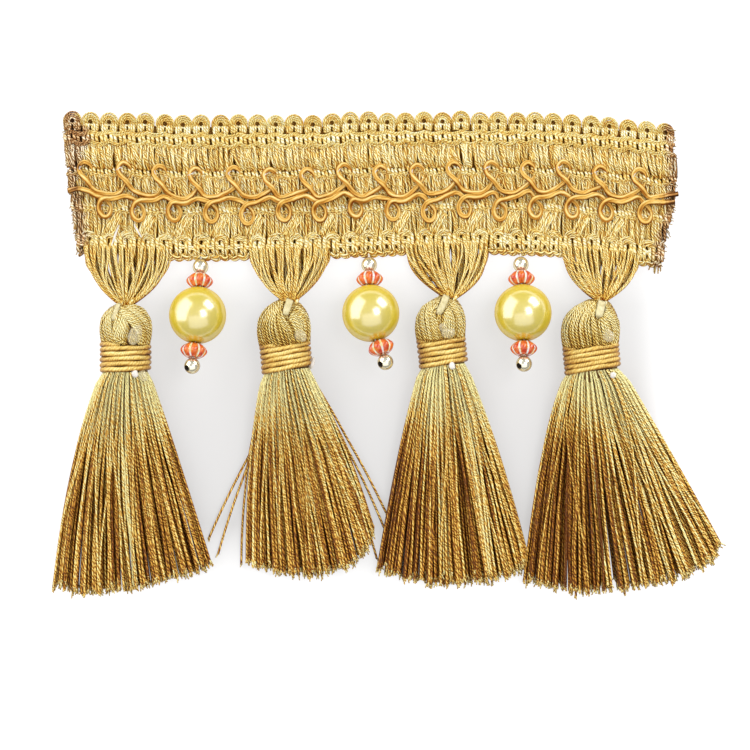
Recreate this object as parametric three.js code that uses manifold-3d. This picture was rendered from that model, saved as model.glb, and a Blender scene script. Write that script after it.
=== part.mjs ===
// Beaded fringe trim: a gimp heading with scroll cords, bound tassels and bead drops, lying face up.
// Millimetres. +X runs along the heading, +Y towards its picots, +Z up from the table it lies on.
import * as THREE from "three";
import { mergeVertices } from "three/addons/utils/BufferGeometryUtils.js";
import Module from "manifold-3d";

const wasm = await Module();
wasm.setup();

// Driving sizes
const clear = 0.3; // air between neighbouring pieces
const headingDepth = 30; // from the picots' crowns to the hem
const picotPitch = 3.906;
const firstPicot = -66.4; // the middle of the first picot loop
const picots = 33;
const columnsPerPicot = 4;
const picotNotch = 1.2; // how far the edge dips between two picots
const hemNotch = 0.7; // how far the hem rises between two hem loops
const notchSharpness = 3; // the higher, the narrower the notch between two loops
const bandUnderside = -1; // the band is made thicker than it is and cut flat at the table
const cutterHeight = 8;
const upperCordHalf = 0.36; // half the side of each scroll cord's section
const lowerCordHalf = 0.42;
const swoopReach = { x: 1.5, y: 0.5 }; // where the upper cord starts to rise from a swoop
const longRun = 2.5; // a run of the lower cord longer than this has a point at its middle
const runSag = 0.35; // share of the fall to the next loop that it has made by then
const headAxis = 4.6; // height of a tassel's middle line above the table
const headHalfThickness = 4.75;
const wrapHalfThickness = 4.6;
const wrapTurns = 6;
const wrapCord = 0.9; // thickness of the binding cord
const turnValley = 0.3; // depth of the groove between two turns
const bodySides = 10;
const coreHalfThickness = 3.4;
const coreStub = 1.2; // how far the core reaches out of the wrap at the skirt's side
const rootDepth = 0.5; // how deep a lock's root sits in the end of the core
const rootInset = 0.4; // and how far inside the core's edge
const neckRootDepth = 0.9; // how deep the hanger threads sit in the neck
const hangerStagger = 0.5; // every second hanger thread bows up by this much at its middle
const hangerBow = 0.8; // below 1, the hanger threads' middle leaves the neck's line early
const headFootInset = { wide: 0.3, thick: 0.2 }; // a head's foot is a little slimmer than its wrap
const looseHalf = 0.25;
const tieHalf = 0.75;
const tieThick = 0.5;
const tieSteps = 3;
const tieSag = 0.4; // how far a tie's upper end may lie below its next station
const lockFill = 0.8; // share of the skirt's width that its locks take up
const pearlRadius = 6;
const pearlCentre = 5.8; // height of a pearl's middle, which leaves it a small flat spot
const boreRadius = 0.6;
const pearlRows = 8;
const pearlSides = 16;
const ballRows = 5;
const ballSides = 10;
const threadRadius = 0.22;
const upperTilt = THREE.MathUtils.degToRad(20); // the thread climbs from the hem to the pearl
const lowerTilt = THREE.MathUtils.degToRad(12); // and on past it to the end ball

// Outlines of the heading
const crownLine = [
  { x: -72, y: 50.6 },
  { x: -54.8, y: 50.6 },
  { x: -43, y: 50.1 },
  { x: -12, y: 50.1 },
  { x: -7.8, y: 50.6 },
  { x: 33.2, y: 50.6 },
  { x: 44.7, y: 49.8 },
  { x: 66, y: 47.8 },
];
const hemLine = [
  { x: -72, y: 21 },
  { x: -58.2, y: 20.2 },
  { x: -45.6, y: 19.7 },
  { x: -30.9, y: 19.7 },
  { x: -10.7, y: 20.1 },
  { x: 2.7, y: 20.8 },
  { x: 22.9, y: 21 },
  { x: 33.2, y: 20.6 },
  { x: 44.7, y: 19.7 },
  { x: 66, y: 17.2 },
];
const leftCut = [
  { x: -67.9, y: 60 },
  { x: -68, y: 47.2 },
  { x: -67.3, y: 39.7 },
  { x: -66.6, y: 33 },
  { x: -65.7, y: 26.2 },
  { x: -64.9, y: 20.4 },
  { x: -64.6, y: 10 },
];
const rightCut = [
  { x: 60.2, y: 60 },
  { x: 60.2, y: 48.8 },
  { x: 60.9, y: 38.9 },
  { x: 60.5, y: 34.2 },
  { x: 60.2, y: 29.6 },
  { x: 59, y: 26.2 },
  { x: 58.4, y: 22.9 },
  { x: 56.4, y: 10 },
];

// Relief of the heading, one row for each line of work across it. Picot and shell are the heights of
// the waves that repeat with every picot and with every second one.
const headingRows = [
  { work: "picot crown", down: 0, height: 1.1, picot: 0, shell: 0 },
  { work: "picot loop", down: 1.4, height: 1.8, picot: 0.25, shell: 0 },
  { work: "slit", down: 3, height: 1.4, picot: 0.1, shell: 0 },
  { work: "wavy thread", down: 5, height: 2.1, picot: 0, shell: 0 },
  { work: "shell top", down: 7.4, height: 1.7, picot: 0, shell: 0.1 },
  { work: "shell belly", down: 9.6, height: 2.4, picot: 0, shell: 0.35 },
  { work: "middle chain", down: 12.6, height: 1.9, picot: 0, shell: 0.1 },
  { work: "lower chain", down: 19.6, height: 1.95, picot: 0, shell: 0.05 },
  { work: "fan belly", down: 23, height: 2.4, picot: 0.15, shell: 0 },
  { work: "selvedge", down: 27.8, height: 2, picot: -0.2, shell: 0 },
  { work: "hem", down: 30, height: 1.2, picot: 0, shell: 0 },
];
const firstShellGap = -63.5;

// Scroll cords. The upper one stands up in a loop at each apex and swoops down between two of them.
const upperLoops = [
  { apexX: -63.6, apexY: 40.2, swoopX: -57.7, swoopY: 33.4 },
  { apexX: -55.4, apexY: 40.1, swoopX: -49.7, swoopY: 33 },
  { apexX: -47.9, apexY: 39.4, swoopX: -43, swoopY: 32.4 },
  { apexX: -40.3, apexY: 38.9, swoopX: -36, swoopY: 32.9 },
  { apexX: -32.3, apexY: 39.1, swoopX: -27.9, swoopY: 32.8 },
  { apexX: -24.7, apexY: 38.7, swoopX: -20.5, swoopY: 33.2 },
  { apexX: -16.8, apexY: 38.7, swoopX: -13.1, swoopY: 33 },
  { apexX: -9.1, apexY: 39.7, swoopX: -5.4, swoopY: 32.9 },
  { apexX: -1.4, apexY: 39.4, swoopX: 2.9, swoopY: 32.8 },
  { apexX: 6.3, apexY: 39.6, swoopX: 11, swoopY: 33.7 },
  { apexX: 14, apexY: 40.2, swoopX: 19.1, swoopY: 33.7 },
  { apexX: 21.9, apexY: 40.2, swoopX: 26.2, swoopY: 33.7 },
  { apexX: 29.6, apexY: 40.1, swoopX: 33.3, swoopY: 33.8 },
  { apexX: 37.1, apexY: 40.3, swoopX: 41.3, swoopY: 33.7 },
  { apexX: 44.8, apexY: 39.3, swoopX: 49.3, swoopY: 32.7 },
  { apexX: 53, apexY: 38.7, swoopX: 57.4, swoopY: 33 },
];
const upperLoopTurns = [
  { part: "under itself", x: 0.6, y: -4 },
  { part: "right side", x: 1.4, y: -2.5 },
  { part: "right shoulder", x: 1.3, y: -0.9 },
  { part: "apex", x: 0, y: 0 },
  { part: "left shoulder", x: -1.15, y: -0.9 },
  { part: "left side", x: -0.95, y: -2.3 },
  { part: "over itself", x: 0.6, y: -4 },
  { part: "leg", x: 2.1, y: -5.9 },
];
const upperStart = [
  { x: -67.4, y: 33.9 },
  { x: -65, y: 34.3 },
];
const upperEnd = [{ x: 61.2, y: 33.5 }];

// The lower cord hangs down in a loop and rises to a crest before the next one.
const lowerLoops = [
  { footX: -59.2, footY: 28.5, crestX: -54.7, crestY: 33 },
  { footX: -52.2, footY: 27.7, crestX: -46, crestY: 32.9 },
  { footX: -44.6, footY: 27.7, crestX: -39, crestY: 32.4 },
  { footX: -36.8, footY: 27.4, crestX: -33.2, crestY: 32.7 },
  { footX: -29.2, footY: 27, crestX: -23.9, crestY: 32.9 },
  { footX: -21.5, footY: 27.7, crestX: -17.1, crestY: 33.1 },
  { footX: -14, footY: 27.7, crestX: -10.1, crestY: 34 },
  { footX: -6.4, footY: 28.5, crestX: -3.1, crestY: 32.9 },
  { footX: 1.4, footY: 27.9, crestX: 6.9, crestY: 33.4 },
  { footX: 9, footY: 27.6, crestX: 14.7, crestY: 33.8 },
  { footX: 16.5, footY: 28.5, crestX: 22.6, crestY: 33.8 },
  { footX: 23.9, footY: 27.9, crestX: 29.9, crestY: 34.2 },
  { footX: 31.4, footY: 28.3, crestX: 36.9, crestY: 33.8 },
  { footX: 39.1, footY: 28.3, crestX: 44.6, crestY: 33.3 },
  { footX: 46.3, footY: 27.8, crestX: 52.7, crestY: 33 },
  { footX: 54.5, footY: 27.3, crestX: 58.4, crestY: 31.7 },
];
const lowerLoopTurns = [
  { part: "under itself", x: -0.35, y: 4.2 },
  { part: "right side", x: 1, y: 2.6 },
  { part: "right heel", x: 0.95, y: 0.95 },
  { part: "foot", x: 0, y: 0 },
  { part: "left heel", x: -1.15, y: 0.95 },
  { part: "left side", x: -1.4, y: 2.5 },
  { part: "over itself", x: -0.35, y: 4.2 },
  { part: "run", x: 1.3, y: 4.5 },
];
const lowerStart = [
  { x: -65.2, y: 32.6 },
  { x: -62.4, y: 32.2 },
];
const lowerEnd = [{ x: 60.2, y: 31.8 }];

// Tassels. A skirt's stations run from its root to the cut ends, and bulge is how far the middle of the
// cut hangs below the line between its two corners.
const tassels = [
  {
    name: "tassel_1",
    x: -54.85,
    y: -1.05,
    lean: 0,
    headHalf: 5.6,
    headLength: 8.2,
    wrapHalf: 5.4,
    wrapLength: 6.8,
    neckShift: 0,
    hangerLeft: -63.8,
    hangerRight: -46.2,
    bulge: 1.9,
    skirt: [
      { leftX: -64.9, leftY: -18.3, rightX: -45.8, rightY: -16.8 },
      { leftX: -68.5, leftY: -33.4, rightX: -41.2, rightY: -30.2 },
      { leftX: -70.6, leftY: -49.4, rightX: -36.8, rightY: -43.9 },
    ],
    loose: [],
    tie: { fromX: -0.3, fromY: -0.5, toX: -2.1, toY: -3.4 },
  },
  {
    name: "tassel_2",
    x: -21.15,
    y: -1.05,
    lean: 5.5,
    headHalf: 5.8,
    headLength: 9.4,
    wrapHalf: 5.4,
    wrapLength: 5.8,
    neckShift: 1.8,
    hangerLeft: -28.8,
    hangerRight: -12.4,
    bulge: 5.6,
    skirt: [
      { leftX: -28.6, leftY: -17.6, rightX: -10.7, rightY: -14.9 },
      { leftX: -29.4, leftY: -30.9, rightX: -6.1, rightY: -25.4 },
      { leftX: -29.6, leftY: -43.9, rightX: -2.5, rightY: -37.2 },
    ],
    loose: [
      { side: -1, x: [-30.1, -33.4, -38.2], y: [-18.3, -28.6, -39.9] },
      { side: -1, x: [-29.7, -32, -35.5], y: [-21, -31.9, -42.2] },
      { side: 1, x: [-8.7, -3.6, 0], y: [-17.4, -27.4, -34] },
      { side: 1, x: [-8.4, -4.3, -0.6], y: [-20, -29.6, -36.8] },
    ],
    tie: { fromX: 0, fromY: -0.3, toX: -1.4, toY: -3.5 },
  },
  {
    name: "tassel_3",
    x: 11.65,
    y: -0.1,
    lean: 5.8,
    headHalf: 5.5,
    headLength: 9,
    wrapHalf: 5.2,
    wrapLength: 5.8,
    neckShift: 3,
    hangerLeft: 4.2,
    hangerRight: 21.2,
    bulge: 4.4,
    skirt: [
      { leftX: 3.4, leftY: -16.6, rightX: 21.8, rightY: -15.3 },
      { leftX: 0.8, leftY: -30.9, rightX: 26.2, rightY: -28.3 },
      { leftX: -2.1, leftY: -45.2, rightX: 29.2, rightY: -42.6 },
    ],
    loose: [],
    tie: { fromX: -0.5, fromY: -0.4, toX: -2.7, toY: -3.7 },
  },
  {
    name: "tassel_4",
    x: 43,
    y: -1.35,
    lean: 5,
    headHalf: 6.3,
    headLength: 9.9,
    wrapHalf: 6,
    wrapLength: 5.6,
    neckShift: 3.2,
    hangerLeft: 37,
    hangerRight: 53.1,
    bulge: 5.2,
    skirt: [
      { leftX: 33.4, leftY: -18.3, rightX: 56.7, rightY: -15.3 },
      { leftX: 30.7, leftY: -33, rightX: 63.8, rightY: -27.9 },
      { leftX: 29.2, leftY: -48.1, rightX: 70.6, rightY: -40.5 },
    ],
    loose: [],
    tie: { fromX: -0.3, fromY: -0.3, toX: -1.2, toY: -3.7 },
  },
];

// Cross sections of a head from its neck to its foot, as shares of its length, half width and half
// thickness. Shift is the share of the neck's offset that the section still has.
const headSections = [
  { along: 0, wide: 0.26, thick: 0.28, shift: 1 },
  { along: 0.06, wide: 0.5, thick: 0.52, shift: 0.92 },
  { along: 0.2, wide: 0.78, thick: 0.8, shift: 0.6 },
  { along: 0.42, wide: 0.96, thick: 0.97, shift: 0.2 },
  { along: 0.7, wide: 1, thick: 1, shift: 0 },
  { along: 0.94, wide: 0.97, thick: 0.97, shift: 0 },
];

// Three layers of locks make a skirt: one lies on the table and the others lie above it.
const skirtLayers = [
  { locks: 11, rootNarrow: 0.5, endNarrow: 0.94, base: [2.2, 0, 0, 0], thick: [0.4, 0.8, 1.1, 1.2] },
  { locks: 12, rootNarrow: 0.94, endNarrow: 1, base: [4.2, 2.6, 1.9, 1.6], thick: [0.5, 0.9, 1.1, 1.2] },
  { locks: 11, rootNarrow: 0.6, endNarrow: 0.88, base: [6.2, 4.9, 3.6, 2.9], thick: [0.5, 0.9, 1.1, 1.2] },
];
const bulgeShares = [0, 0.08, 0.4, 1];
const endUnevenness = 0.7;

// Threads that come out of the hem, from the neck up to the hem
const hangerThreads = 11;
const hangerStations = [
  { along: 0, spread: 0.15, width: 0.12, base: 4.4 },
  { along: 0.26, spread: 0.5, width: 0.5, base: 2.9 },
  { along: 0.55, spread: 0.8, width: 0.95, base: 1.6 },
  { along: 1, spread: 1, width: 1.15, base: 0.2 },
];

// Bead drops. Lean is the thread's slant in plan above and below the pearl, in degrees, positive to +X.
const drops = [
  { name: "drop_1", x: -39.7, y: 7.9, upperLean: 2.6, lowerLean: -5.6 },
  { name: "drop_2", x: -3.4, y: 8.3, upperLean: -1.9, lowerLean: 16.6 },
  { name: "drop_3", x: 28.5, y: 8.4, upperLean: -1.8, lowerLean: 0.7 },
];
const topBallRadius = 1.58;
const endBallRadius = 1.68;
const rondelleHalf = 1.5; // half its length along the thread
const rondelleLobes = 8;
const flute = 0.86; // radius in a flute as a share of the radius on a lobe
const fluteStart = 1.5; // nearer the bore than this the bead is round
const boreLength = 0.7; // the bore's length as a share of the rondelle's
const rondelleProfile = [
  { out: 1.7, across: -1 },
  { out: 2.8, across: -0.35 },
  { out: 2.8, across: 0.35 },
  { out: 1.7, across: 1 },
];

const finishes = {
  heading: { color: 0xcbb06a, roughness: 0.8, metalness: 0 },
  cord: { color: 0xdcae62, roughness: 0.6, metalness: 0 },
  tassel: { color: 0xb8965a, roughness: 0.75, metalness: 0 },
  wrap: { color: 0xd6ad66, roughness: 0.65, metalness: 0 },
  tie: { color: 0xe6d8a8, roughness: 0.6, metalness: 0 },
  pearl: { color: 0xe0cd46, roughness: 0.25, metalness: 0 },
  rondelle: { color: 0xe0561e, roughness: 0.1, metalness: 0 },
  ball: { color: 0xd8cba0, roughness: 0.15, metalness: 1 },
  thread: { color: 0xe8e2c8, roughness: 0.5, metalness: 0 },
};

const trim = new THREE.Group();
const up = new THREE.Vector3(0, 0, 1);
const mix = THREE.MathUtils.lerp;

function addPiece(name, geometry, finish) {
  const mesh = new THREE.Mesh(geometry, new THREE.MeshStandardMaterial(finishes[finish]));
  mesh.name = name;
  trim.add(mesh);
}

// The value of a column at one place in a table whose rows are in order of the key column
function valueAt(table, key, place, column) {
  let i = 0;
  while (i < table.length - 2 && place > table[i + 1][key]) {
    i += 1;
  }
  const share = (place - table[i][key]) / (table[i + 1][key] - table[i][key]);
  return mix(table[i][column], table[i + 1][column], THREE.MathUtils.clamp(share, 0, 1));
}

function merged(geometry) {
  geometry.deleteAttribute("normal");
  geometry.deleteAttribute("uv");
  return mergeVertices(geometry, 1e-5);
}

function solidOf(geometry) {
  const closed = merged(geometry);
  return new wasm.Manifold(
    new wasm.Mesh({
      numProp: 3,
      vertProperties: new Float32Array(closed.attributes.position.array),
      triVerts: new Uint32Array(closed.index.array),
    })
  );
}

function geometryOf(solid) {
  const mesh = solid.getMesh();
  const geometry = new THREE.BufferGeometry();
  geometry.setAttribute("position", new THREE.BufferAttribute(mesh.vertProperties, 3));
  geometry.setIndex(new THREE.BufferAttribute(mesh.triVerts, 1));
  return geometry;
}

// Moves each point of a geometry to where place says
function reshaped(geometry, place) {
  const points = geometry.attributes.position;
  for (let i = 0; i < points.count; i += 1) {
    const moved = place(points.getX(i), points.getY(i), points.getZ(i));
    points.setXYZ(i, moved.x, moved.y, moved.z);
  }
  return geometry;
}

const triangle = [new THREE.Vector2(-1, -1), new THREE.Vector2(1, -1), new THREE.Vector2(0, 1)];
const square = [
  new THREE.Vector2(-1, -1),
  new THREE.Vector2(1, -1),
  new THREE.Vector2(1, 1),
  new THREE.Vector2(-1, 1),
];

// A closed strand through stations, each of them { x, y, z, half, thick }. Its section stands upright
// with a flat side down: half is its half width, thick its whole height, and z its middle's height.
function strand(stations, section) {
  const steps = stations.length - 1;
  const shape = new THREE.Shape(section);
  const straight = new THREE.ExtrudeGeometry(shape, { depth: 1, steps, bevelEnabled: false });
  return reshaped(straight, (x, y, z) => {
    const i = Math.round(z * steps);
    const here = stations[i];
    const before = stations[Math.max(0, i - 1)];
    const after = stations[Math.min(steps, i + 1)];
    const along = new THREE.Vector3(after.x - before.x, after.y - before.y, 0).normalize();
    const side = new THREE.Vector3().crossVectors(up, along);
    const middle = new THREE.Vector3(here.x, here.y, here.z + (y * here.thick) / 2);
    return middle.addScaledVector(side, x * here.half);
  });
}

// Heading
function headingY(x, down) {
  const crown = valueAt(crownLine, "x", x, "y");
  const hem = valueAt(hemLine, "x", x, "y");
  return mix(crown, hem, down / headingDepth);
}

function picotWave(x) {
  return Math.cos((2 * Math.PI * (x - firstPicot)) / picotPitch);
}

function headingHeight(x, down) {
  const shellWave = -Math.cos((Math.PI * (x - firstShellGap)) / picotPitch);
  return (
    valueAt(headingRows, "down", down, "height") +
    valueAt(headingRows, "down", down, "picot") * picotWave(x) +
    valueAt(headingRows, "down", down, "shell") * shellWave
  );
}

function underTassel(x) {
  return tassels.some((tassel) => x > tassel.hangerLeft - 1 && x < tassel.hangerRight + 1);
}

function edgeDip(x, row) {
  if (row === 0) {
    return picotNotch * ((1 - picotWave(x)) / 2) ** notchSharpness;
  }
  if (row === headingRows.length - 1 && !underTassel(x)) {
    return -hemNotch * ((1 + picotWave(x)) / 2) ** notchSharpness;
  }
  return 0;
}

// What the two end cuts and the flat back leave of the band
function endCut() {
  const outline = [...leftCut, ...rightCut.toReversed()];
  const shape = new THREE.Shape(outline.map((point) => new THREE.Vector2(point.x, point.y)));
  return new THREE.ExtrudeGeometry(shape, { depth: cutterHeight, bevelEnabled: false });
}

function makeHeading() {
  const columns = (picots + 1) * columnsPerPicot;
  const rows = headingRows.length - 1;
  const start = firstPicot - picotPitch;
  const band = new THREE.BoxGeometry(1, 1, 1, columns, rows, 1);
  reshaped(band, (u, v, w) => {
    const x = start + Math.round((u + 0.5) * columns) * (picotPitch / columnsPerPicot);
    const row = Math.round((0.5 - v) * rows);
    const down = headingRows[row].down;
    const y = headingY(x, down + edgeDip(x, row));
    return new THREE.Vector3(x, y, w > 0 ? headingHeight(x, down) : bandUnderside);
  });
  addPiece("heading", geometryOf(solidOf(band).intersect(solidOf(endCut()))), "heading");
}

// Scroll cords
function upperRoute() {
  const route = [...upperStart];
  for (const loop of upperLoops) {
    for (const turn of upperLoopTurns) {
      route.push({ x: loop.apexX + turn.x, y: loop.apexY + turn.y });
    }
    route.push({ x: loop.swoopX, y: loop.swoopY });
    if (loop !== upperLoops.at(-1)) {
      route.push({ x: loop.swoopX + swoopReach.x, y: loop.swoopY + swoopReach.y });
    }
  }
  return [...route, ...upperEnd];
}

function lowerRoute() {
  const route = [...lowerStart];
  lowerLoops.forEach((loop, i) => {
    for (const turn of lowerLoopTurns) {
      route.push({ x: loop.footX + turn.x, y: loop.footY + turn.y });
    }
    route.push({ x: loop.crestX, y: loop.crestY });
    const next = lowerLoops[i + 1];
    if (next && next.footX - loop.crestX > longRun) {
      const crossX = next.footX + lowerLoopTurns[0].x;
      const crossY = next.footY + lowerLoopTurns[0].y;
      route.push({ x: mix(loop.crestX, crossX, 0.5), y: mix(loop.crestY, crossY, runSag) });
    }
  });
  return [...route, ...lowerEnd];
}

// A route that is moved towards the hem wherever it would lie on another cord
function besideOf(route, others, gap) {
  return route.map((point) => {
    const moved = { x: point.x, y: point.y };
    while (others.some((other) => Math.hypot(other.x - moved.x, other.y - moved.y) < gap)) {
      moved.y -= laneStep;
    }
    return moved;
  });
}

function heightUnder(x, y, half) {
  const crown = headingY(x, 0);
  const down = ((crown - y) / (crown - headingY(x, headingDepth))) * headingDepth;
  return Math.max(...[-half, 0, half].map((shift) => headingHeight(x, down + shift)));
}

const samplesPerStep = 4;
const laneStep = 0.05; // by which a cord is moved sideways until it is clear of another
const layingRounds = 12;
const sameCourse = 4; // two places of one cord this near along it can't cross

// Points along a cord, each with the step it lies in and its distance from the cord's start
function sampled(stations) {
  const points = [];
  let start = 0;
  for (let step = 0; step < stations.length - 1; step += 1) {
    const a = stations[step];
    const b = stations[step + 1];
    const length = Math.hypot(b.x - a.x, b.y - a.y);
    for (let k = 0; k < samplesPerStep; k += 1) {
      const share = k / samplesPerStep;
      const place = { x: mix(a.x, b.x, share), y: mix(a.y, b.y, share), z: mix(a.z, b.z, share) };
      points.push({ ...place, half: a.half, step, along: start + share * length });
    }
    start += length;
  }
  return points;
}

// A cord rests on the heading and, where it crosses a cord that was laid before or its own earlier
// course, on that. Its stations rise until every stretch is clear.
function laid(route, half, before) {
  const stations = route.map((point) => ({
    x: point.x,
    y: point.y,
    z: heightUnder(point.x, point.y, half) + clear + half,
    half,
    thick: 2 * half,
  }));
  for (let round = 0; round < layingRounds; round += 1) {
    const own = sampled(stations);
    for (const point of own) {
      const earlier = own.filter((other) => other.along < point.along - sameCourse);
      for (const other of [...before, ...earlier]) {
        const need = half + other.half + clear;
        const beside = Math.hypot(point.x - other.x, point.y - other.y) > need + laneStep;
        if (!beside && point.z < other.z + need) {
          for (const station of stations.slice(point.step, point.step + 2)) {
            station.z = Math.max(station.z, other.z + need);
          }
        }
      }
    }
  }
  return stations;
}

function makeScrollCords() {
  const upper = laid(upperRoute(), upperCordHalf, []);
  const upperPoints = sampled(upper);
  const lane = upperCordHalf + lowerCordHalf + 2 * clear;
  const lower = laid(besideOf(lowerRoute(), upperPoints, lane), lowerCordHalf, upperPoints);
  addPiece("scroll_cord_upper", merged(strand(upper, square)), "cord");
  addPiece("scroll_cord_lower", merged(strand(lower, square)), "cord");
}

// Tassels. Places on a tassel are given across its axis and along it, down from the middle of its wrap.
function onTassel(tassel, across, along) {
  const lean = THREE.MathUtils.degToRad(tassel.lean);
  return {
    x: tassel.x + across * Math.cos(lean) + along * Math.sin(lean),
    y: tassel.y + across * Math.sin(lean) - along * Math.cos(lean),
  };
}

function neckOf(tassel) {
  return onTassel(tassel, tassel.neckShift, -tassel.wrapLength / 2 - tassel.headLength);
}

// The sections of the head and of the core that the wrap is wound on
function bodySections(tassel) {
  const wrapTop = -tassel.wrapLength / 2;
  const coreHalf = tassel.wrapHalf - wrapCord - clear;
  const core = { wide: coreHalf, thick: coreHalfThickness, shift: 0 };
  const head = headSections.map((section) => ({
    along: wrapTop - clear - (1 - section.along) * tassel.headLength,
    wide: section.wide * tassel.headHalf,
    thick: section.thick * headHalfThickness,
    shift: section.shift * tassel.neckShift,
  }));
  return [
    ...head,
    {
      along: wrapTop - clear,
      wide: tassel.wrapHalf - headFootInset.wide,
      thick: wrapHalfThickness - headFootInset.thick,
      shift: 0,
    },
    { along: wrapTop, ...core },
    { along: -wrapTop + coreStub, ...core },
  ];
}

function tasselBody(tassel) {
  const sections = bodySections(tassel);
  const steps = sections.length - 1;
  const body = new THREE.CylinderGeometry(1, 1, 1, bodySides, steps);
  return reshaped(body, (x, y, z) => {
    const section = sections[Math.round((0.5 - y) * steps)];
    const place = onTassel(tassel, section.shift + x * section.wide, section.along);
    return new THREE.Vector3(place.x, place.y, headAxis + z * section.thick);
  });
}

// Unevenness of cut ends, the same at every build
function uneven(number) {
  return Math.sin(number * 12.9 + 4.1) * Math.cos(number * 7.3);
}

function skirtPlace(tassel, station, share) {
  if (station === 0) {
    const reach = tassel.wrapHalf - wrapCord - clear - rootInset;
    return onTassel(tassel, reach * (2 * share - 1), tassel.wrapLength / 2 + coreStub - rootDepth);
  }
  const row = tassel.skirt[station - 1];
  const sag = tassel.bulge * bulgeShares[station] * 4 * share * (1 - share);
  return { x: mix(row.leftX, row.rightX, share), y: mix(row.leftY, row.rightY, share) - sag };
}

function skirtWidth(tassel, station) {
  const left = skirtPlace(tassel, station, 0);
  const right = skirtPlace(tassel, station, 1);
  return Math.hypot(right.x - left.x, right.y - left.y);
}

function skirtLock(tassel, layer, number) {
  const share = (number + 0.5) / layer.locks;
  const stations = [0, 1, 2, 3].map((station) => {
    const narrow = mix(layer.rootNarrow, layer.endNarrow, Math.min(1, station / 2));
    const place = skirtPlace(tassel, station, 0.5 + (share - 0.5) * narrow);
    const half = (lockFill / 2) * (narrow / layer.locks) * skirtWidth(tassel, station);
    const thick = layer.thick[station];
    return { x: place.x, y: place.y, z: layer.base[station] + thick / 2, half, thick };
  });
  stations[3].y += endUnevenness * uneven(number + layer.locks * layer.base[3] + tassel.x);
  return strand(stations, triangle);
}

function looseStrand(tassel, stray, number) {
  const reach = tassel.wrapHalf - wrapCord - clear - rootInset;
  const root = onTassel(tassel, stray.side * reach, tassel.wrapLength / 2 + coreStub - rootDepth);
  const section = { half: looseHalf, thick: 2 * looseHalf };
  const rootZ = headAxis - looseHalf - 3 * looseHalf * (number % 2);
  const stations = [{ ...root, z: rootZ, ...section }];
  stray.x.forEach((x, i) => {
    stations.push({ x, y: stray.y[i], z: looseHalf, ...section });
  });
  return strand(stations, triangle);
}

function hangerThread(tassel, number) {
  const share = (number + 0.5) / hangerThreads;
  const neck = neckOf(tassel);
  const hemX = mix(tassel.hangerLeft, tassel.hangerRight, share);
  const hemY = headingY(hemX, headingDepth) - clear;
  const rootY = neck.y - neckRootDepth;
  const middle = (tassel.hangerLeft + tassel.hangerRight) / 2;
  const halfSpan = (tassel.hangerRight - tassel.hangerLeft) / 2;
  const stations = hangerStations.map((station) => {
    const centre = mix(neck.x, middle, station.along ** hangerBow);
    const forward = (number % 2) * hangerStagger * 4 * station.along * (1 - station.along);
    return {
      x: centre + (2 * share - 1) * halfSpan * station.spread,
      y: mix(rootY, hemY, station.along),
      z: station.base + station.width / 2 + forward,
      half: station.width / 2,
      thick: station.width,
    };
  });
  return strand(stations, triangle);
}

function makeTassel(tassel) {
  const strands = [];
  for (const layer of skirtLayers) {
    for (let i = 0; i < layer.locks; i += 1) {
      strands.push(skirtLock(tassel, layer, i));
    }
  }
  for (let i = 0; i < hangerThreads; i += 1) {
    strands.push(hangerThread(tassel, i));
  }
  tassel.loose.forEach((stray, i) => strands.push(looseStrand(tassel, stray, i)));
  const body = solidOf(tasselBody(tassel)).trimByPlane([0, 0, 1], 0);
  const whole = strands.reduce((joined, each) => joined.add(solidOf(each)), body);
  addPiece(tassel.name, geometryOf(whole), "tassel");
}

function makeWrap(tassel) {
  const pitch = tassel.wrapLength / wrapTurns;
  const foot = -tassel.wrapLength / 2;
  const inner = tassel.wrapHalf - wrapCord;
  const profile = [new THREE.Vector2(inner, foot)];
  for (let turn = 0; turn < wrapTurns; turn += 1) {
    profile.push(new THREE.Vector2(tassel.wrapHalf - turnValley, foot + turn * pitch));
    profile.push(new THREE.Vector2(tassel.wrapHalf, foot + (turn + 0.5) * pitch));
  }
  profile.push(new THREE.Vector2(tassel.wrapHalf - turnValley, -foot));
  profile.push(new THREE.Vector2(inner, -foot));
  profile.push(profile[0].clone());
  const wrap = new THREE.LatheGeometry(profile, 10);
  wrap.scale(1, 1, wrapHalfThickness / tassel.wrapHalf);
  wrap.rotateZ(THREE.MathUtils.degToRad(tassel.lean));
  wrap.translate(tassel.x, tassel.y, headAxis);
  addPiece(tassel.name.replace("tassel", "tassel_wrap"), merged(wrap), "wrap");
}

// The height of a head's upper surface at a place across and along the tassel
function headSurface(tassel, across, along) {
  const sections = bodySections(tassel);
  const wide = valueAt(sections, "along", along, "wide");
  const thick = valueAt(sections, "along", along, "thick");
  const off = (across - valueAt(sections, "along", along, "shift")) / wide;
  return headAxis + thick * Math.sqrt(Math.max(0, 1 - off * off));
}

function makeTie(tassel) {
  const tie = tassel.tie;
  const neckAlong = -tassel.wrapLength / 2 - tassel.headLength;
  const stations = Array.from({ length: tieSteps + 1 }, (_, step) => {
    const share = step / tieSteps;
    const across = tassel.neckShift + mix(tie.fromX, tie.toX, share);
    const along = neckAlong - mix(tie.fromY, tie.toY, share);
    const place = onTassel(tassel, across, along);
    const edges = [-tieHalf, 0, tieHalf].map((side) => headSurface(tassel, across + side, along));
    return { ...place, z: Math.max(...edges) + clear + tieThick / 2, half: tieHalf, thick: tieThick };
  });
  stations[0].z = Math.max(stations[0].z, stations[1].z - tieSag);
  addPiece(tassel.name.replace("tassel", "tassel_tie"), merged(strand(stations, square)), "tie");
}

// Bead drops
function ballProfile(radius, rows) {
  const mouth = Math.asin(boreRadius / radius);
  const profile = [];
  for (let i = 0; i <= rows; i += 1) {
    const angle = mix(Math.PI - mouth, mouth, i / rows);
    profile.push(new THREE.Vector2(radius * Math.sin(angle), radius * Math.cos(angle)));
  }
  return profile;
}

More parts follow.
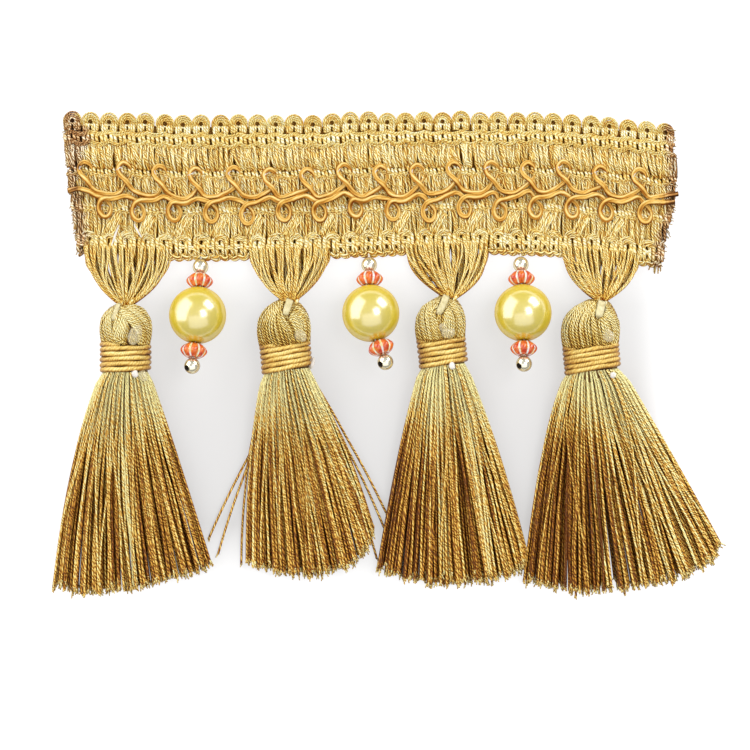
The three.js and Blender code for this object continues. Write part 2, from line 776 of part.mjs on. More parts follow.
function roundBead(radius, rows, sides) {
  const profile = ballProfile(radius, rows);
  return new THREE.LatheGeometry([...profile, profile[0].clone()], sides);
}

function flutedBead() {
  const shape = [
    new THREE.Vector2(boreRadius, -boreLength * rondelleHalf),
    ...rondelleProfile.map((row) => new THREE.Vector2(row.out, row.across * rondelleHalf)),
    new THREE.Vector2(boreRadius, boreLength * rondelleHalf),
    new THREE.Vector2(boreRadius, -boreLength * rondelleHalf),
  ];
  const bead = new THREE.LatheGeometry(shape, 2 * rondelleLobes);
  return reshaped(bead, (x, y, z) => {
    const out = Math.hypot(x, z);
    const column = Math.round((Math.atan2(x, z) / Math.PI) * rondelleLobes + 2 * rondelleLobes);
    const share = column % 2 === 1 && out > fluteStart ? flute : 1;
    return new THREE.Vector3(x * share, y, z * share);
  });
}

function direction(lean, tilt) {
  const slant = THREE.MathUtils.degToRad(lean);
  return new THREE.Vector3(Math.sin(slant) * Math.cos(tilt), Math.cos(slant) * Math.cos(tilt), -Math.sin(tilt));
}

function makeDrop(drop) {
  const pearl = new THREE.Vector3(drop.x, drop.y, pearlCentre);
  const above = direction(drop.upperLean, upperTilt);
  const below = direction(-drop.lowerLean, lowerTilt).negate();
  const rondelleOut = pearlRadius + clear + rondelleHalf;
  const ballOut = rondelleOut + rondelleHalf + clear;
  const axis = above.clone().sub(below).normalize();
  const put = (part, shape, centre, along, finish, flat = false) => {
    shape.applyQuaternion(new THREE.Quaternion().setFromUnitVectors(new THREE.Vector3(0, 1, 0), along));
    shape.translate(centre.x, centre.y, centre.z);
    const whole = flat ? geometryOf(solidOf(shape).trimByPlane([0, 0, 1], 0)) : merged(shape);
    addPiece(`${drop.name}_${part}`, whole, finish);
  };
  const topRondelle = pearl.clone().addScaledVector(above, rondelleOut);
  const topBall = pearl.clone().addScaledVector(above, ballOut + topBallRadius);
  const lowerRondelle = pearl.clone().addScaledVector(below, rondelleOut);
  const endBall = pearl.clone().addScaledVector(below, ballOut + endBallRadius);
  put("top_ball", roundBead(topBallRadius, ballRows, ballSides), topBall, above, "ball");
  put("top_rondelle", flutedBead(), topRondelle, above, "rondelle");
  put("pearl", roundBead(pearlRadius, pearlRows, pearlSides), pearl, axis, "pearl", true);
  put("lower_rondelle", flutedBead(), lowerRondelle, below.clone().negate(), "rondelle");
  put("end_ball", roundBead(endBallRadius, ballRows, ballSides), endBall, below.clone().negate(), "ball");

  const hemY = headingY(drop.x, headingDepth) - clear;
  const toHem = (hemY - topBall.y) / above.y;
  const route = [
    topBall.clone().addScaledVector(above, toHem),
    topBall,
    topRondelle,
    pearl.clone().addScaledVector(axis, pearlRadius),
    pearl.clone().addScaledVector(axis, -pearlRadius),
    lowerRondelle,
    endBall,
  ];
  const stations = route.map((point) => ({
    x: point.x,
    y: point.y,
    z: point.z,
    half: threadRadius,
    thick: 2 * threadRadius,
  }));
  addPiece(`${drop.name}_thread`, merged(strand(stations, square)), "thread");
}

makeHeading();
makeScrollCords();
for (const tassel of tassels) {
  makeTassel(tassel);
  makeWrap(tassel);
  makeTie(tassel);
}
for (const drop of drops) {
  makeDrop(drop);
}

export default trim;
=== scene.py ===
import math

import bpy
import numpy as np
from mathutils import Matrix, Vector

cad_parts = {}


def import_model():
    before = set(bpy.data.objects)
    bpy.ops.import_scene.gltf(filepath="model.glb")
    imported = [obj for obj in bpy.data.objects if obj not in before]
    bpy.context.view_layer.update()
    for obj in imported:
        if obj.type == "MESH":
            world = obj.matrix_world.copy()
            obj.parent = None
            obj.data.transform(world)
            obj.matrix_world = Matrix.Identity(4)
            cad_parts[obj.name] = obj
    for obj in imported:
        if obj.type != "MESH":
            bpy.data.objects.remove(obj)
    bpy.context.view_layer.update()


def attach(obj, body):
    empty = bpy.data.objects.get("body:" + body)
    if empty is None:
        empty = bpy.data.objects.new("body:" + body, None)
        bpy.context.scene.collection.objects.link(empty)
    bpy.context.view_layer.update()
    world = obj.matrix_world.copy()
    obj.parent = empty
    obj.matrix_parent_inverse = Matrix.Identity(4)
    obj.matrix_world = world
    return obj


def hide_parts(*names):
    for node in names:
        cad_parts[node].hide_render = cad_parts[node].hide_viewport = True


MM = 0.001

# Heading
HEADING_DEPTH = 30.0
PICOT_PITCH = 3.906
FIRST_PICOT = -66.4
PICOTS = 33
LEG_PITCH = PICOT_PITCH / 2
PICOT_NOTCH = 1.9
HEM_NOTCH = 0.6
GROUND_THICK = 0.85
GROUND_FOOT = 0.02
CUT_INSET = 0.3
SELVEDGE_LENGTH = 129
CROWN_LINE = [
    (-72, 50.6),
    (-54.8, 50.6),
    (-43, 50.1),
    (-12, 50.1),
    (-7.8, 50.6),
    (33.2, 50.6),
    (44.7, 49.8),
    (66, 47.8),
]
HEM_LINE = [
    (-72, 21),
    (-58.2, 20.2),
    (-45.6, 19.7),
    (-30.9, 19.7),
    (-10.7, 20.1),
    (2.7, 20.8),
    (22.9, 21),
    (33.2, 20.6),
    (44.7, 19.7),
    (66, 17.2),
]
LEFT_CUT = [(-67.9, 60), (-68, 47.2), (-67.3, 39.7), (-66.6, 33), (-65.7, 26.2), (-64.9, 20.4), (-64.6, 10)]
RIGHT_CUT = [
    (60.2, 60),
    (60.2, 48.8),
    (60.9, 38.9),
    (60.5, 34.2),
    (60.2, 29.6),
    (59, 26.2),
    (58.4, 22.9),
    (56.4, 10),
]
# Height of the work above the table against the distance down from the crowns
RELIEF_DOWN = [0, 1.4, 3, 5, 7.4, 9.6, 12.6, 19.6, 23, 27.8, 30]
RELIEF_HEIGHT = [1.1, 1.8, 1.5, 2.1, 1.8, 2.5, 1.95, 1.95, 2.4, 1.95, 1.2]
SHELL_SWELL = [0, 0, 0, 0, 0.1, 0.35, 0.1, 0.05, 0, 0, 0]

# How far the brown reaches from the left cut against the distance down from the crowns
STAIN_DOWN = (0, 2.0, 3.0, 6.6, 7.6, 11, 12, 16, 18, 30)
STAIN_REACH = (3.4, 4.0, 5.6, 6.0, 4.5, 3.9, 2.5, 2.6, 3.2, 2.9)
STAIN_RIGHT = 2.6

# Radius of the threads in each row of the heading
PICOT_THREAD = 0.215
FOOT_THREAD = 0.26
EYE_THREAD = 0.22
EDGE_THREAD = 0.24
SHELL_THREAD = 0.31
CHAIN_THREAD = 0.23
FAN_THREAD = 0.3
LEG_THREAD = 0.42
ARCH_THREAD = 0.25
HEM_THREAD = 0.37
FRINGE_THREAD = 0.2
NYLON_THREAD = 0.07

# Rows of the heading. Down is measured from the crowns and lift from the face of the work.
# Half width and lift of the nested arches of a picot
PICOT_ARCHES = ((1.77, -0.22), (1.4, -0.1), (1.02, 0.0), (0.66, -0.05))
# Distance from the picot's middle, top and foot of its stitches
PICOT_FEET = ((0.38, 2.3, 3.5), (0.84, 2.0, 3.9), (1.32, 2.2, 3.9))
# Down and sag of the two lines under the picots
EDGE_LINES = ((3.75, 0.5), (5.6, 0.85))
EDGE_STITCH = {
    "down": 4.4,
    "length": 1.85,
    "pitch": LEG_PITCH,
    "phase": LEG_PITCH / 2,
    "radius": 0.4,
    "tone": 0.76,
    "lift": -0.2,
    "lean": 0.12,
    "pair": 0.42,
}
STITCH_PITCH = 1.63
CHAIN_STITCH = {
    "length": 1.3,
    "pitch": STITCH_PITCH,
    "radius": 0.34,
    "tone": 0.74,
    "lift": 0.0,
    "lean": 0.16,
    "pair": 0.36,
}
# A shell of this width has this many threads in its upper layer
SHELL_WIDE = 7.8
SHELL_THREADS = 15
# Seed, top, bottom, narrowing, tone, lift, belly and slip of each row of shells
SHELL_ROWS = {
    "upper_shells": (7, 6.6, 11.6, 0.86, 0.68, -0.28, 0.3, 0.55),
    "second_row": (15, 12.7, 17.4, 0.95, 0.62, -0.3, 0.15, 0.3),
    "third_row": (17, 16.4, 20.0, 1.0, 0.55, -0.3, 0.1, 0.0),
}
FAN_PITCH = 0.54
LEG_TOP = 25.7
ARCH_REACHES = (0.58, 0.98, 1.36, 1.68)
GLUE_STREAKS = (
    [(-56.4, 27.0), (-57.2, 24.8), (-58.0, 22.6)],
    [(-53.2, 27.2), (-52.5, 25.8), (-51.6, 24.3)],
)

# How far at most a strand's start is moved along the yarn's pattern, and the way of the painted light: each
# side of a thread is painted lighter the more it faces that way, and darker, as painted shade, the more it
# turns from it
START_SPREAD = 20.0
START_SEED = 7
PAINTED_LIGHT_WAY = (0.0, 0.4, 0.92)

# The yarn's pattern, as counts for each metre along a thread and for each turn round it
WANDERS_PER_METRE = 380.0
FIBRES_PER_METRE = 900.0
FIBRES_ROUND = 9.0

# Scroll cords
UPPER_CORD = 0.53
LOWER_CORD = 0.55
UPPER_LOOPS = [
    (-63.6, 40.2, -57.7, 33.4),
    (-55.4, 40.1, -49.7, 33),
    (-47.9, 39.4, -43, 32.4),
    (-40.3, 38.9, -36, 32.9),
    (-32.3, 39.1, -27.9, 32.8),
    (-24.7, 38.7, -20.5, 33.2),
    (-16.8, 38.7, -13.1, 33),
    (-9.1, 39.7, -5.4, 32.9),
    (-1.4, 39.4, 2.9, 32.8),
    (6.3, 39.6, 11, 33.7),
    (14, 40.2, 19.1, 33.7),
    (21.9, 40.2, 26.2, 33.7),
    (29.6, 40.1, 33.3, 33.8),
    (37.1, 40.3, 41.3, 33.7),
    (44.8, 39.3, 49.3, 32.7),
    (53, 38.7, 57.4, 33),
]
UPPER_TURNS = [
    (0.6, -4),
    (1.4, -2.5),
    (1.3, -0.9),
    (0, 0),
    (-1.15, -0.9),
    (-0.95, -2.3),
    (0.6, -4),
    (2.1, -5.9),
]
LOWER_LOOPS = [
    (-59.2, 28.5, -54.7, 33),
    (-52.2, 27.7, -46, 32.9),
    (-44.6, 27.7, -39, 32.4),
    (-36.8, 27.4, -33.2, 32.7),
    (-29.2, 27, -23.9, 32.9),
    (-21.5, 27.7, -17.1, 33.1),
    (-14, 27.7, -10.1, 34),
    (-6.4, 28.5, -3.1, 32.9),
    (1.4, 27.9, 6.9, 33.4),
    (9, 27.6, 14.7, 33.8),
    (16.5, 28.5, 22.6, 33.8),
    (23.9, 27.9, 29.9, 34.2),
    (31.4, 28.3, 36.9, 33.8),
    (39.1, 28.3, 44.6, 33.3),
    (46.3, 27.8, 52.7, 33),
    (54.5, 27.3, 58.4, 31.7),
]
LOWER_TURNS = [
    (-0.35, 4.2),
    (1, 2.6),
    (0.95, 0.95),
    (0, 0),
    (-1.15, 0.95),
    (-1.4, 2.5),
    (-0.35, 4.2),
    (1.3, 4.5),
]

# Tassels. A skirt's left and right are the root, the bend and the end of its edge, and hem its cut ends.
# Wrap is where along the tassel its cord starts, its pitch, how far across the front it starts and its tilt.
# A skirt's painted shade is how much darker it is painted from left to right, for the side that the lamps and
# the neighbouring tassels leave in shade, and its level.
HEAD_AXIS = 4.6
HEAD_THICK = 4.75
WRAP_THICK = 4.6
WRAP_CORD = 0.46
WRAP_TURNS = 5.6
HEAD_ALONG = [0, 0.06, 0.2, 0.42, 0.7, 0.94, 1]
HEAD_WIDE = [0.22, 0.46, 0.76, 0.96, 1, 0.96, 0.93]
HEAD_SHIFT = [0.7, 0.52, 0.26, 0.14, 0.04, 0, 0]
TASSELS = [
    {
        "name": "tassel_1",
        "x": -54.85,
        "y": -1.05,
        "lean": 0,
        "head_half": 5.6,
        "head_length": 8.2,
        "wrap_half": 5.4,
        "wrap_length": 6.8,
        "neck_shift": 0,
        "hanger": (-63.8, -46.2),
        "left": [(-60.1, -4.4), (-67.2, -21.4), (-70.4, -49.4)],
        "right": [(-49.8, -4.4), (-45.1, -18.3), (-36.9, -44.6)],
        "hem": [(-70.4, -49.4), (-62.4, -50.4), (-51.9, -49.4), (-43.3, -46.9), (-36.9, -44.6)],
        "wrap": (-2.85, 1.08, -0.21, 0.0),
        "tie": ((-56, 10.4), (-57.2, 6.4), 0.5),
        "strand": ((-53.3, 11.7), (-54, 9.6)),
        "head_shade": 0.15,
        "wrap_shade": 0.42,
        "skirt_painted_shade": (0.06, -0.1),
        "seed": 11,
    },
    {
        "name": "tassel_2",
        "x": -21.15,
        "y": -1.05,
        "lean": 5.5,
        "head_half": 5.8,
        "head_length": 9.4,
        "wrap_half": 5.4,
        "wrap_length": 5.8,
        "neck_shift": 1.8,
        "hanger": (-28.8, -12.4),
        "left": [(-26, -4.6), (-29.5, -18.3), (-29.6, -43.9)],
        "right": [(-16, -4), (-7.6, -20), (-2.7, -37)],
        "hem": [(-29.6, -43.9), (-23.3, -46), (-16.6, -46.8), (-9.9, -45.4), (-5, -42.8), (-2.7, -37)],
        "wrap": (-2.6, 1.03, -0.12, 0.28),
        "tie": ((-20.4, 11.2), (-21.4, 7.5), 0.76),
        "strand": ((-18.6, 11.4), (-19.5, 9.7)),
        "head_shade": -0.08,
        "wrap_shade": 0.4,
        "skirt_painted_shade": (-0.02, -0.12),
        "seed": 12,
    },
    {
        "name": "tassel_3",
        "x": 11.65,
        "y": -0.1,
        "lean": 5.8,
        "head_half": 5.5,
        "head_length": 9,
        "wrap_half": 5.2,
        "wrap_length": 5.8,
        "neck_shift": 3,
        "hanger": (4.2, 21.2),
        "left": [(6.9, -3.2), (2.3, -19.3), (-2.1, -45.6)],
        "right": [(17, -3.2), (23.5, -18.3), (29.6, -42)],
        "hem": [(-2.1, -45.6), (4, -47.3), (12, -48.7), (22.3, -47.7), (28.6, -45.6), (29.6, -42)],
        "wrap": (-2.95, 1.05, -0.66, 0.09),
        "tie": ((12.5, 12), (10.6, 7.7), 0.76),
        "strand": ((14.8, 12.3), (13.6, 10.5)),
        "head_shade": 0.04,
        "wrap_shade": 0.35,
        "skirt_painted_shade": (-0.26, -0.27),
        "seed": 13,
    },
    {
        "name": "tassel_4",
        "x": 43,
        "y": -1.35,
        "lean": 5,
        "head_half": 6.3,
        "head_length": 9.9,
        "wrap_half": 6,
        "wrap_length": 5.6,
        "neck_shift": 3.2,
        "hanger": (37, 53.1),
        "left": [(37.4, -4.6), (32.3, -16.2), (28.7, -48.1)],
        "right": [(49.6, -4), (59.4, -19.7), (70.3, -40.1)],
        "hem": [(28.7, -48.1), (39.7, -50.4), (50.2, -49.6), (60.7, -48.1), (69.1, -43.7), (70.3, -40.1)],
        "wrap": (-2.57, 0.98, -0.63, 0.27),
        "tie": ((44.9, 10.9), (44, 7), 0.88),
        "strand": ((46, 11), (45.5, 9.6)),
        "head_shade": -0.02,
        "wrap_shade": 0.33,
        "skirt_painted_shade": (-0.28, -0.14),
        "seed": 14,
    },
]
# Lines that the threads of each head follow, lock by lock, over its front
HEAD_LOCKS = [
    [  # tassel 1
        [
            [(-56.8, 10.1), (-58, 8.9), (-59.4, 7.6), (-60.3, 5.9), (-60.3, 4.2), (-59.9, 2.3)],
            [(-57, 9.4), (-57.7, 8.4), (-58.7, 7.2), (-59.3, 5.8), (-59.2, 4.1), (-58.6, 2.2)],
            [(-57.2, 8.7), (-57.7, 8), (-58.2, 6.9), (-58.4, 5.5), (-58.1, 4), (-57.5, 2.2)],
            [(-57.5, 7.8), (-57.7, 7.1), (-57.7, 6.2), (-57.6, 5.2), (-57.4, 3.9), (-56.8, 2.1)],
        ],
        [
            [(-56.5, 8.2), (-56.6, 7.4), (-56.9, 6.2), (-57.1, 4.9), (-57.2, 3.7), (-56.8, 2.3)],
            [(-55.5, 8.6), (-55.5, 7.6), (-56, 6.2), (-56.8, 4.5), (-57, 3.3), (-56.3, 2.1)],
            [(-54.8, 7.6), (-54.7, 6.9), (-55.1, 5.7), (-55.8, 4.2), (-56.2, 3), (-55.5, 1.9)],
            [(-54.1, 7.1), (-54.1, 6.2), (-54.5, 4.9), (-54.9, 3.7), (-54.9, 2.7), (-54.5, 1.7)],
        ],
        [
            [(-53.6, 10.1), (-51.8, 9.6), (-50, 8.4), (-49, 6.4), (-48.9, 4.2), (-49.6, 1.9)],
            [(-54.2, 9.9), (-52.9, 8.9), (-51.1, 7.5), (-50, 5.7), (-49.8, 3.7), (-50.1, 1.8)],
            [(-54.9, 9.6), (-54, 8.7), (-52.4, 7.2), (-51.1, 5.4), (-50.6, 3.6), (-50.8, 1.7)],
            [(-55.5, 9.4), (-54.7, 8.3), (-53.3, 6.8), (-51.9, 4.9), (-51.3, 3.4), (-51.5, 1.7)],
            [(-55.8, 8.8), (-54.9, 7.7), (-53.9, 6.4), (-52.7, 4.7), (-52.1, 3.1), (-52.1, 1.7)],
        ],
    ],
    [  # tassel 2
        [
            [(-22.4, 11.2), (-23.6, 11), (-25.4, 9.4), (-26.9, 7.4), (-27.4, 4.9), (-26.4, 1.6)],
            [(-21.6, 10.6), (-22.4, 10.9), (-23.6, 9.8), (-25.2, 7.6), (-26, 5.2), (-25.2, 1.6)],
            [(-21.7, 10.4), (-22.3, 10.5), (-23, 9.6), (-24.1, 7.6), (-24.5, 4.9), (-23.6, 1.5)],
            [(-21.8, 10), (-22.2, 10), (-22.6, 9.4), (-23.2, 7.6), (-23, 4.9), (-21.9, 1.5)],
            [(-21.9, 9.4), (-22.3, 9), (-22.6, 8.3), (-22.2, 6.8), (-21.2, 4.7), (-20.3, 1.6)],
            [(-21.9, 8.2), (-21.9, 7.7), (-21.5, 7), (-20.6, 5.8), (-19.8, 4.2), (-19, 2.2)],
        ],
        [
            [(-19.2, 9.9), (-18.1, 9.3), (-16.9, 8.1), (-16.1, 6.2), (-16, 4.2), (-16.4, 2.2)],
            [(-19.5, 9.3), (-18.6, 8.7), (-17.5, 7.4), (-16.9, 5.5), (-16.8, 3.9), (-17.1, 2.1)],
            [(-20, 8.3), (-19.1, 7.7), (-18.3, 6.6), (-17.9, 5.2), (-17.7, 3.7), (-17.9, 2.1)],
            [(-20.4, 7.6), (-19.7, 7), (-19.1, 5.9), (-18.7, 4.7), (-18.6, 3.5), (-18.5, 2.1)],
            [(-20.9, 7), (-20.3, 6.4), (-19.7, 5.4), (-19.3, 4.5), (-19, 3.4), (-18.8, 2.1)],
        ],
    ],
    [  # tassel 3
        [
            [(11.7, 11.8), (10, 12), (7.9, 11.2), (6.3, 9.3), (5.6, 6.5), (6.2, 2.9)],
            [(11.2, 11.1), (9.5, 11.3), (7.8, 10.3), (6.8, 8.2), (6.7, 6), (7.4, 2.6)],
            [(11, 10.7), (9.8, 10.9), (8.5, 10.2), (7.8, 8.4), (7.9, 6), (8.8, 2.5)],
            [(10.9, 10.3), (10.1, 10.5), (9.2, 9.9), (8.8, 8.4), (9, 6), (9.7, 2.5)],
            [(10.6, 9.6), (10, 9.5), (9.3, 8.6), (9.5, 7.4), (10, 5.5), (10.7, 2.6)],
            [(10.2, 8.5), (10, 8), (10, 7.4), (10.6, 6.2), (11, 4.8), (11.8, 2.9)],
        ],
        [
            [(13.9, 10.9), (14.9, 10), (15.9, 8.4), (16.4, 6.5), (16.4, 4.8), (16.1, 3.3)],
            [(13.6, 10.5), (14.3, 9.5), (15.1, 8), (15.5, 6.5), (15.5, 4.8), (15.3, 3.1)],
            [(12.9, 9.7), (13.5, 9), (14.1, 7.8), (14.4, 6), (14.3, 4.2), (13.9, 3)],
            [(12.4, 9.1), (12.7, 8.6), (13, 7.4), (13, 6), (12.9, 4.3), (12.4, 2.9)],
            [(11.9, 8.2), (11.9, 7.4), (11.8, 6.5), (11.7, 5.5), (11.7, 4.1), (11.9, 2.9)],
        ],
    ],
    [  # tassel 4
        [
            [(42.4, 10.9), (40.4, 10.3), (38, 8.4), (36.7, 6.2), (36.5, 3.9), (37.2, 1.1)],
            [(43.3, 10.6), (41.8, 10.3), (39.7, 8.7), (38.3, 6.5), (37.9, 4), (38.6, 1.1)],
            [(43.7, 10.4), (42.6, 10.1), (41, 8.6), (39.8, 6.4), (39.7, 4), (40.4, 1.2)],
            [(43.8, 9.9), (43.1, 9.6), (42.1, 8.3), (41.4, 6.4), (41.6, 4), (42.1, 1.3)],
            [(43.6, 9.4), (43.1, 8.8), (43, 7.8), (43, 6.4), (43.3, 4), (43.6, 1.3)],
            [(43.6, 8.7), (43.1, 7.7), (43.2, 6.9), (43.8, 5.4), (44.3, 3.7), (44.8, 1.5)],
        ],
        [
            [(45.9, 9.9), (46.8, 9), (48, 7.5), (48.9, 5.7), (48.9, 3.7), (48.5, 2.2)],
            [(45.6, 9), (46.3, 8.1), (47.2, 6.8), (47.8, 5.2), (48, 3.5), (47.8, 1.9)],
            [(45.3, 8.1), (45.7, 7.1), (46.3, 5.9), (46.7, 4.7), (46.8, 3.3), (46.7, 1.7)],
            [(44.9, 7.4), (45, 6.4), (45.1, 5.4), (45.3, 4.5), (45.4, 3), (45.5, 1.6)],
            [(44.2, 6.9), (44.1, 5.9), (44.2, 4.9), (44.4, 4), (44.7, 2.8), (44.9, 1.5)],
        ],
    ],
]
LOOSE_STRANDS = [
    [(-29.0, -21.5), (-37.6, -39.2)],
    [(-29.6, -24.5), (-35.6, -42.4)],
    [(-29.6, -26.5), (-30.7, -44.6)],
    [(-8.7, -17.4), (0, -34)],
    [(-8.4, -20), (-0.6, -36.8)],
    [(-9, -21), (-2.1, -43.4)],
]
SKIRT_TOP_SHARE = [0, 0.12, 0.33, 0.66, 1]
SKIRT_TOP = [7.9, 7.7, 6.6, 5.0, 4.1]
SKIRT_FOOT = [1.6, 0.9, 0.35, 0.32, 0.32]
SKIRT_UNDER = 242
SKIRT_UPPER = 52
SKIRT_STRAYS = 7
SKIRT_LOCKS = 26
SKIRT_LOWEST = 70
GOLDEN = 0.618034
GUIDE_POINTS = 18
HEAD_THREAD = 0.27
HEAD_UNDER = 52
HANGER_THREAD = 0.27
HANGER_PITCHES = (0.5, 0.56, 0.6, 0.6)
LOOSE_THREAD = 0.27
TAPE_RING = (
    (-1, -0.1),
    (-0.7, 0.12),
    (0, 0.2),
    (0.7, 0.12),
    (1, -0.1),
    (0.7, -0.2),
    (0, -0.16),
    (-0.7, -0.2),
)

# Drops of glue: middle, half sizes, finish and turn
GLUE = [
    ("tassel_1_glue", (-52.8, 3.7, 8.9), (1.4, 2.4, 0.8), "glue", -0.35),
    ("tassel_1_dot", (-52.7, -4.3, 8.3), (0.75, 0.9, 0.6), "white", 0.4),
    ("tassel_1_smear", (-51.1, -4.7, 7.6), (1.0, 1.2, 0.5), "glue", 0.2),
    ("tassel_2_glue", (-18.0, 3.6, 8.7), (1.25, 1.25, 0.8), "glue", 0.0),
    ("tassel_2_dot", (-15.7, -2.3, 5.8), (0.55, 1.3, 0.6), "white", -0.3),
    ("tassel_3_glue_upper", (11.7, 5.3, 9.1), (1.0, 1.0, 0.7), "glue", 0.0),
    ("tassel_3_glue_lower", (12.7, 4.1, 9.1), (1.3, 1.2, 0.8), "glue", -0.5),
    ("tassel_3_dot", (13.6, -2.7, 8.7), (0.65, 0.9, 0.6), "white", 0.3),
    ("tassel_4_glue", (46.2, 3.4, 8.7), (1.6, 1.6, 0.8), "glue", 0.2),
    ("tassel_4_dot", (47.2, -4.6, 8.0), (0.66, 0.7, 0.6), "white", 0.0),
]

# Bead drops: name, the pearl's place, and the lean of the thread above and below it
DROPS = [
    ("drop_1", -39.7, 7.9, 2.6, -5.6),
    ("drop_2", -3.4, 8.3, -1.9, 16.6),
    ("drop_3", 28.5, 8.4, -1.8, 0.7),
]
PEARL_RADIUS = 6.0
PEARL_CENTRE = 5.8
BORE = 0.6
TOP_BALL = 1.66
END_BALL = 1.68
RONDELLE_HALF = 1.5
RONDELLE_LOBES = 8
BEAD_GAP = 0.3
END_BORE_WAY = (-0.7, -0.3, 0.65)
UPPER_TILT = math.radians(20)
LOWER_TILT = math.radians(12)
DROP_THREAD = 0.2

# Stage. The table's sizes, and a lamp's distance and size, are in metres.
TABLE_HALF = 3.0
TABLE_TOP = -0.0002
# Name, way to the lamp, distance, width and height, and power
LAMPS = (
    ("window right", (0.64, 0.64, 0.41), 0.8, (0.46, 0.42), 3.3),
    ("window above", (0.39, 0.156, 0.909), 0.8, (0.36, 0.32), 1.8),
    ("window left", (-0.87, 0.335, 0.36), 0.8, (1.2, 0.86), 7.4),
    ("window below", (0.05, -0.45, 0.89), 0.9, (1.4, 0.9), 3.0),
)
VIEW_CENTRE = (-2.52, -4.62)
VIEW_WIDTH = 157.5
VIEW_HEIGHT = 4.0
LENS = 200.0
SENSOR = 36.0


# Paths
def smooth_path(points, spacing):
    """A smooth path through the points, with its own points evenly spaced."""
    points = np.asarray(points, float)
    ends = np.vstack([2 * points[0] - points[1], points, 2 * points[-1] - points[-2]])
    pieces = []
    for i in range(len(points) - 1):
        a, b, c, d = ends[i : i + 4]
        steps = [max(1e-6, np.linalg.norm(q - p)) ** 0.5 for p, q in ((a, b), (b, c), (c, d))]
        knots = np.cumsum([0] + steps)
        t = np.linspace(knots[1], knots[2], 12, endpoint=False)[:, None]
        ab = (knots[1] - t) / knots[1] * a + t / knots[1] * b
        bc = ((knots[2] - t) * b + (t - knots[1]) * c) / (knots[2] - knots[1])
        cd = ((knots[3] - t) * c + (t - knots[2]) * d) / (knots[3] - knots[2])
        abc = ((knots[2] - t) * ab + t * bc) / knots[2]
        bcd = ((knots[3] - t) * bc + (t - knots[1]) * cd) / (knots[3] - knots[1])
        pieces.append(((knots[2] - t) * abc + (t - knots[1]) * bcd) / (knots[2] - knots[1]))
    fine = np.vstack(pieces + [points[-1:]])
    return evenly(fine, spacing)


def even_out(values, count):
    """The running mean of a row of values over an odd count of them."""
    return np.convolve(np.pad(values, count // 2, mode="edge"), np.ones(count) / count, "valid")


def evenly(path, spacing):
    """The same path with points at even distances."""
    lengths = np.concatenate([[0], np.cumsum(np.linalg.norm(np.diff(path, axis=0), axis=1))])
    count = max(2, int(round(lengths[-1] / spacing)) + 1)
    at = np.linspace(0, lengths[-1], count)
    return np.column_stack([np.interp(at, lengths, path[:, i]) for i in range(path.shape[1])])


def bezier(points, t):
    """Quadratic or cubic curve through its first and last control point."""
    points = [np.asarray(p, float) for p in points]
    t = np.asarray(t, float)[:, None]
    while len(points) > 1:
        points = [(1 - t) * p + t * q for p, q in zip(points, points[1:])]
    return points[0]


def along_line(line, key):
    """The value of a line of points at a key."""
    xs, ys = zip(*line)
    return np.interp(key, xs, ys)


def cut_x(cut, y):
    """Where a cut end lies at a height in plan."""
    xs, ys = zip(*reversed(cut))
    return np.interp(y, ys, xs)


def smoothstep(value, low, high):
    """A soft step from 0 to 1 while a value goes from low to high."""
    share = np.clip((np.asarray(value, float) - low) / (high - low), 0, 1)
    return share * share * (3 - 2 * share)


# Places on the heading
def heading_y(x, down):
    """The Y of a place along the heading and down from its crowns."""
    crown = along_line(CROWN_LINE, x)
    return crown + (along_line(HEM_LINE, x) - crown) * np.asarray(down) / HEADING_DEPTH


def down_at(x, y):
    """How far down from the crowns a place on the heading lies."""
    crown = along_line(CROWN_LINE, x)
    return (crown - y) / (crown - along_line(HEM_LINE, x)) * HEADING_DEPTH


def shell_bounds():
    """Where one shell of the heading ends and the next starts."""
    return [-71.5] + [loop[0] for loop in UPPER_LOOPS] + [60.8]


def relief(x, down):
    """Height of the work above the table, fuller in the middle of each shell."""
    bounds = np.array(shell_bounds())
    x = np.asarray(x, float)
    i = np.clip(np.searchsorted(bounds, x) - 1, 0, len(bounds) - 2)
    share = (x - bounds[i]) / (bounds[i + 1] - bounds[i])
    swell = np.sin(np.pi * np.clip(share, 0, 1)) ** 0.8 * 2 - 1
    return np.interp(down, RELIEF_DOWN, RELIEF_HEIGHT) + swell * np.interp(down, RELIEF_DOWN, SHELL_SWELL)


def on_band(x, down, lift=0.0):
    """A path on the work, from places along the heading and down from its crowns."""
    x, down = np.broadcast_arrays(np.asarray(x, float), np.asarray(down, float))
    return np.column_stack([x, heading_y(x, down), relief(x, down) + lift])


def from_cuts(path):
    """How far inside the left and the right cut each point lies."""
    left = path[:, 0] - cut_x(LEFT_CUT, path[:, 1])
    right = cut_x(RIGHT_CUT, path[:, 1]) - path[:, 0]
    return left, right


def stain_of(path):
    """How brown the yarn is, from its distance to the two cut ends."""
    left, right = from_cuts(path)
    down = down_at(path[:, 0], path[:, 1])
    reach = np.interp(down, STAIN_DOWN, STAIN_REACH)
    ragged = 0.45 * np.sin(path[:, 1] * 3.1) + 0.35 * np.sin(path[:, 0] * 7.3 + path[:, 1] * 2)
    brown = np.maximum((reach - left + ragged) / 1.1, (STAIN_RIGHT - right + ragged) / 1.5)
    return np.clip(brown, 0, 1) * (0.7 + 0.3 * smoothstep(left, 0.0, 0.4))


def between_cuts(path, reach=0.0):
    """The runs of a path that lie between the two cut ends."""
    left, right = from_cuts(path)
    keep = (left > -reach) & (right > -reach)
    edges = np.flatnonzero(np.diff(np.concatenate([[0], keep.astype(int), [0]])))
    return [path[a:b] for a, b in zip(edges[::2], edges[1::2]) if b - a > 2]


def under_tassel(x, room=0.0):
    """Whether a place along the heading has a tassel under it."""
    return any(t["hanger"][0] - room < x < t["hanger"][1] + room for t in TASSELS)


# Strands and the tree that sweeps them
def keep_on(mesh, name, values):
    """Keeps a number for each point of a mesh, for its finish to read."""
    row = mesh.attributes.new(name, "FLOAT", "POINT")
    row.data.foreach_set("value", np.asarray(values).astype(np.float32))


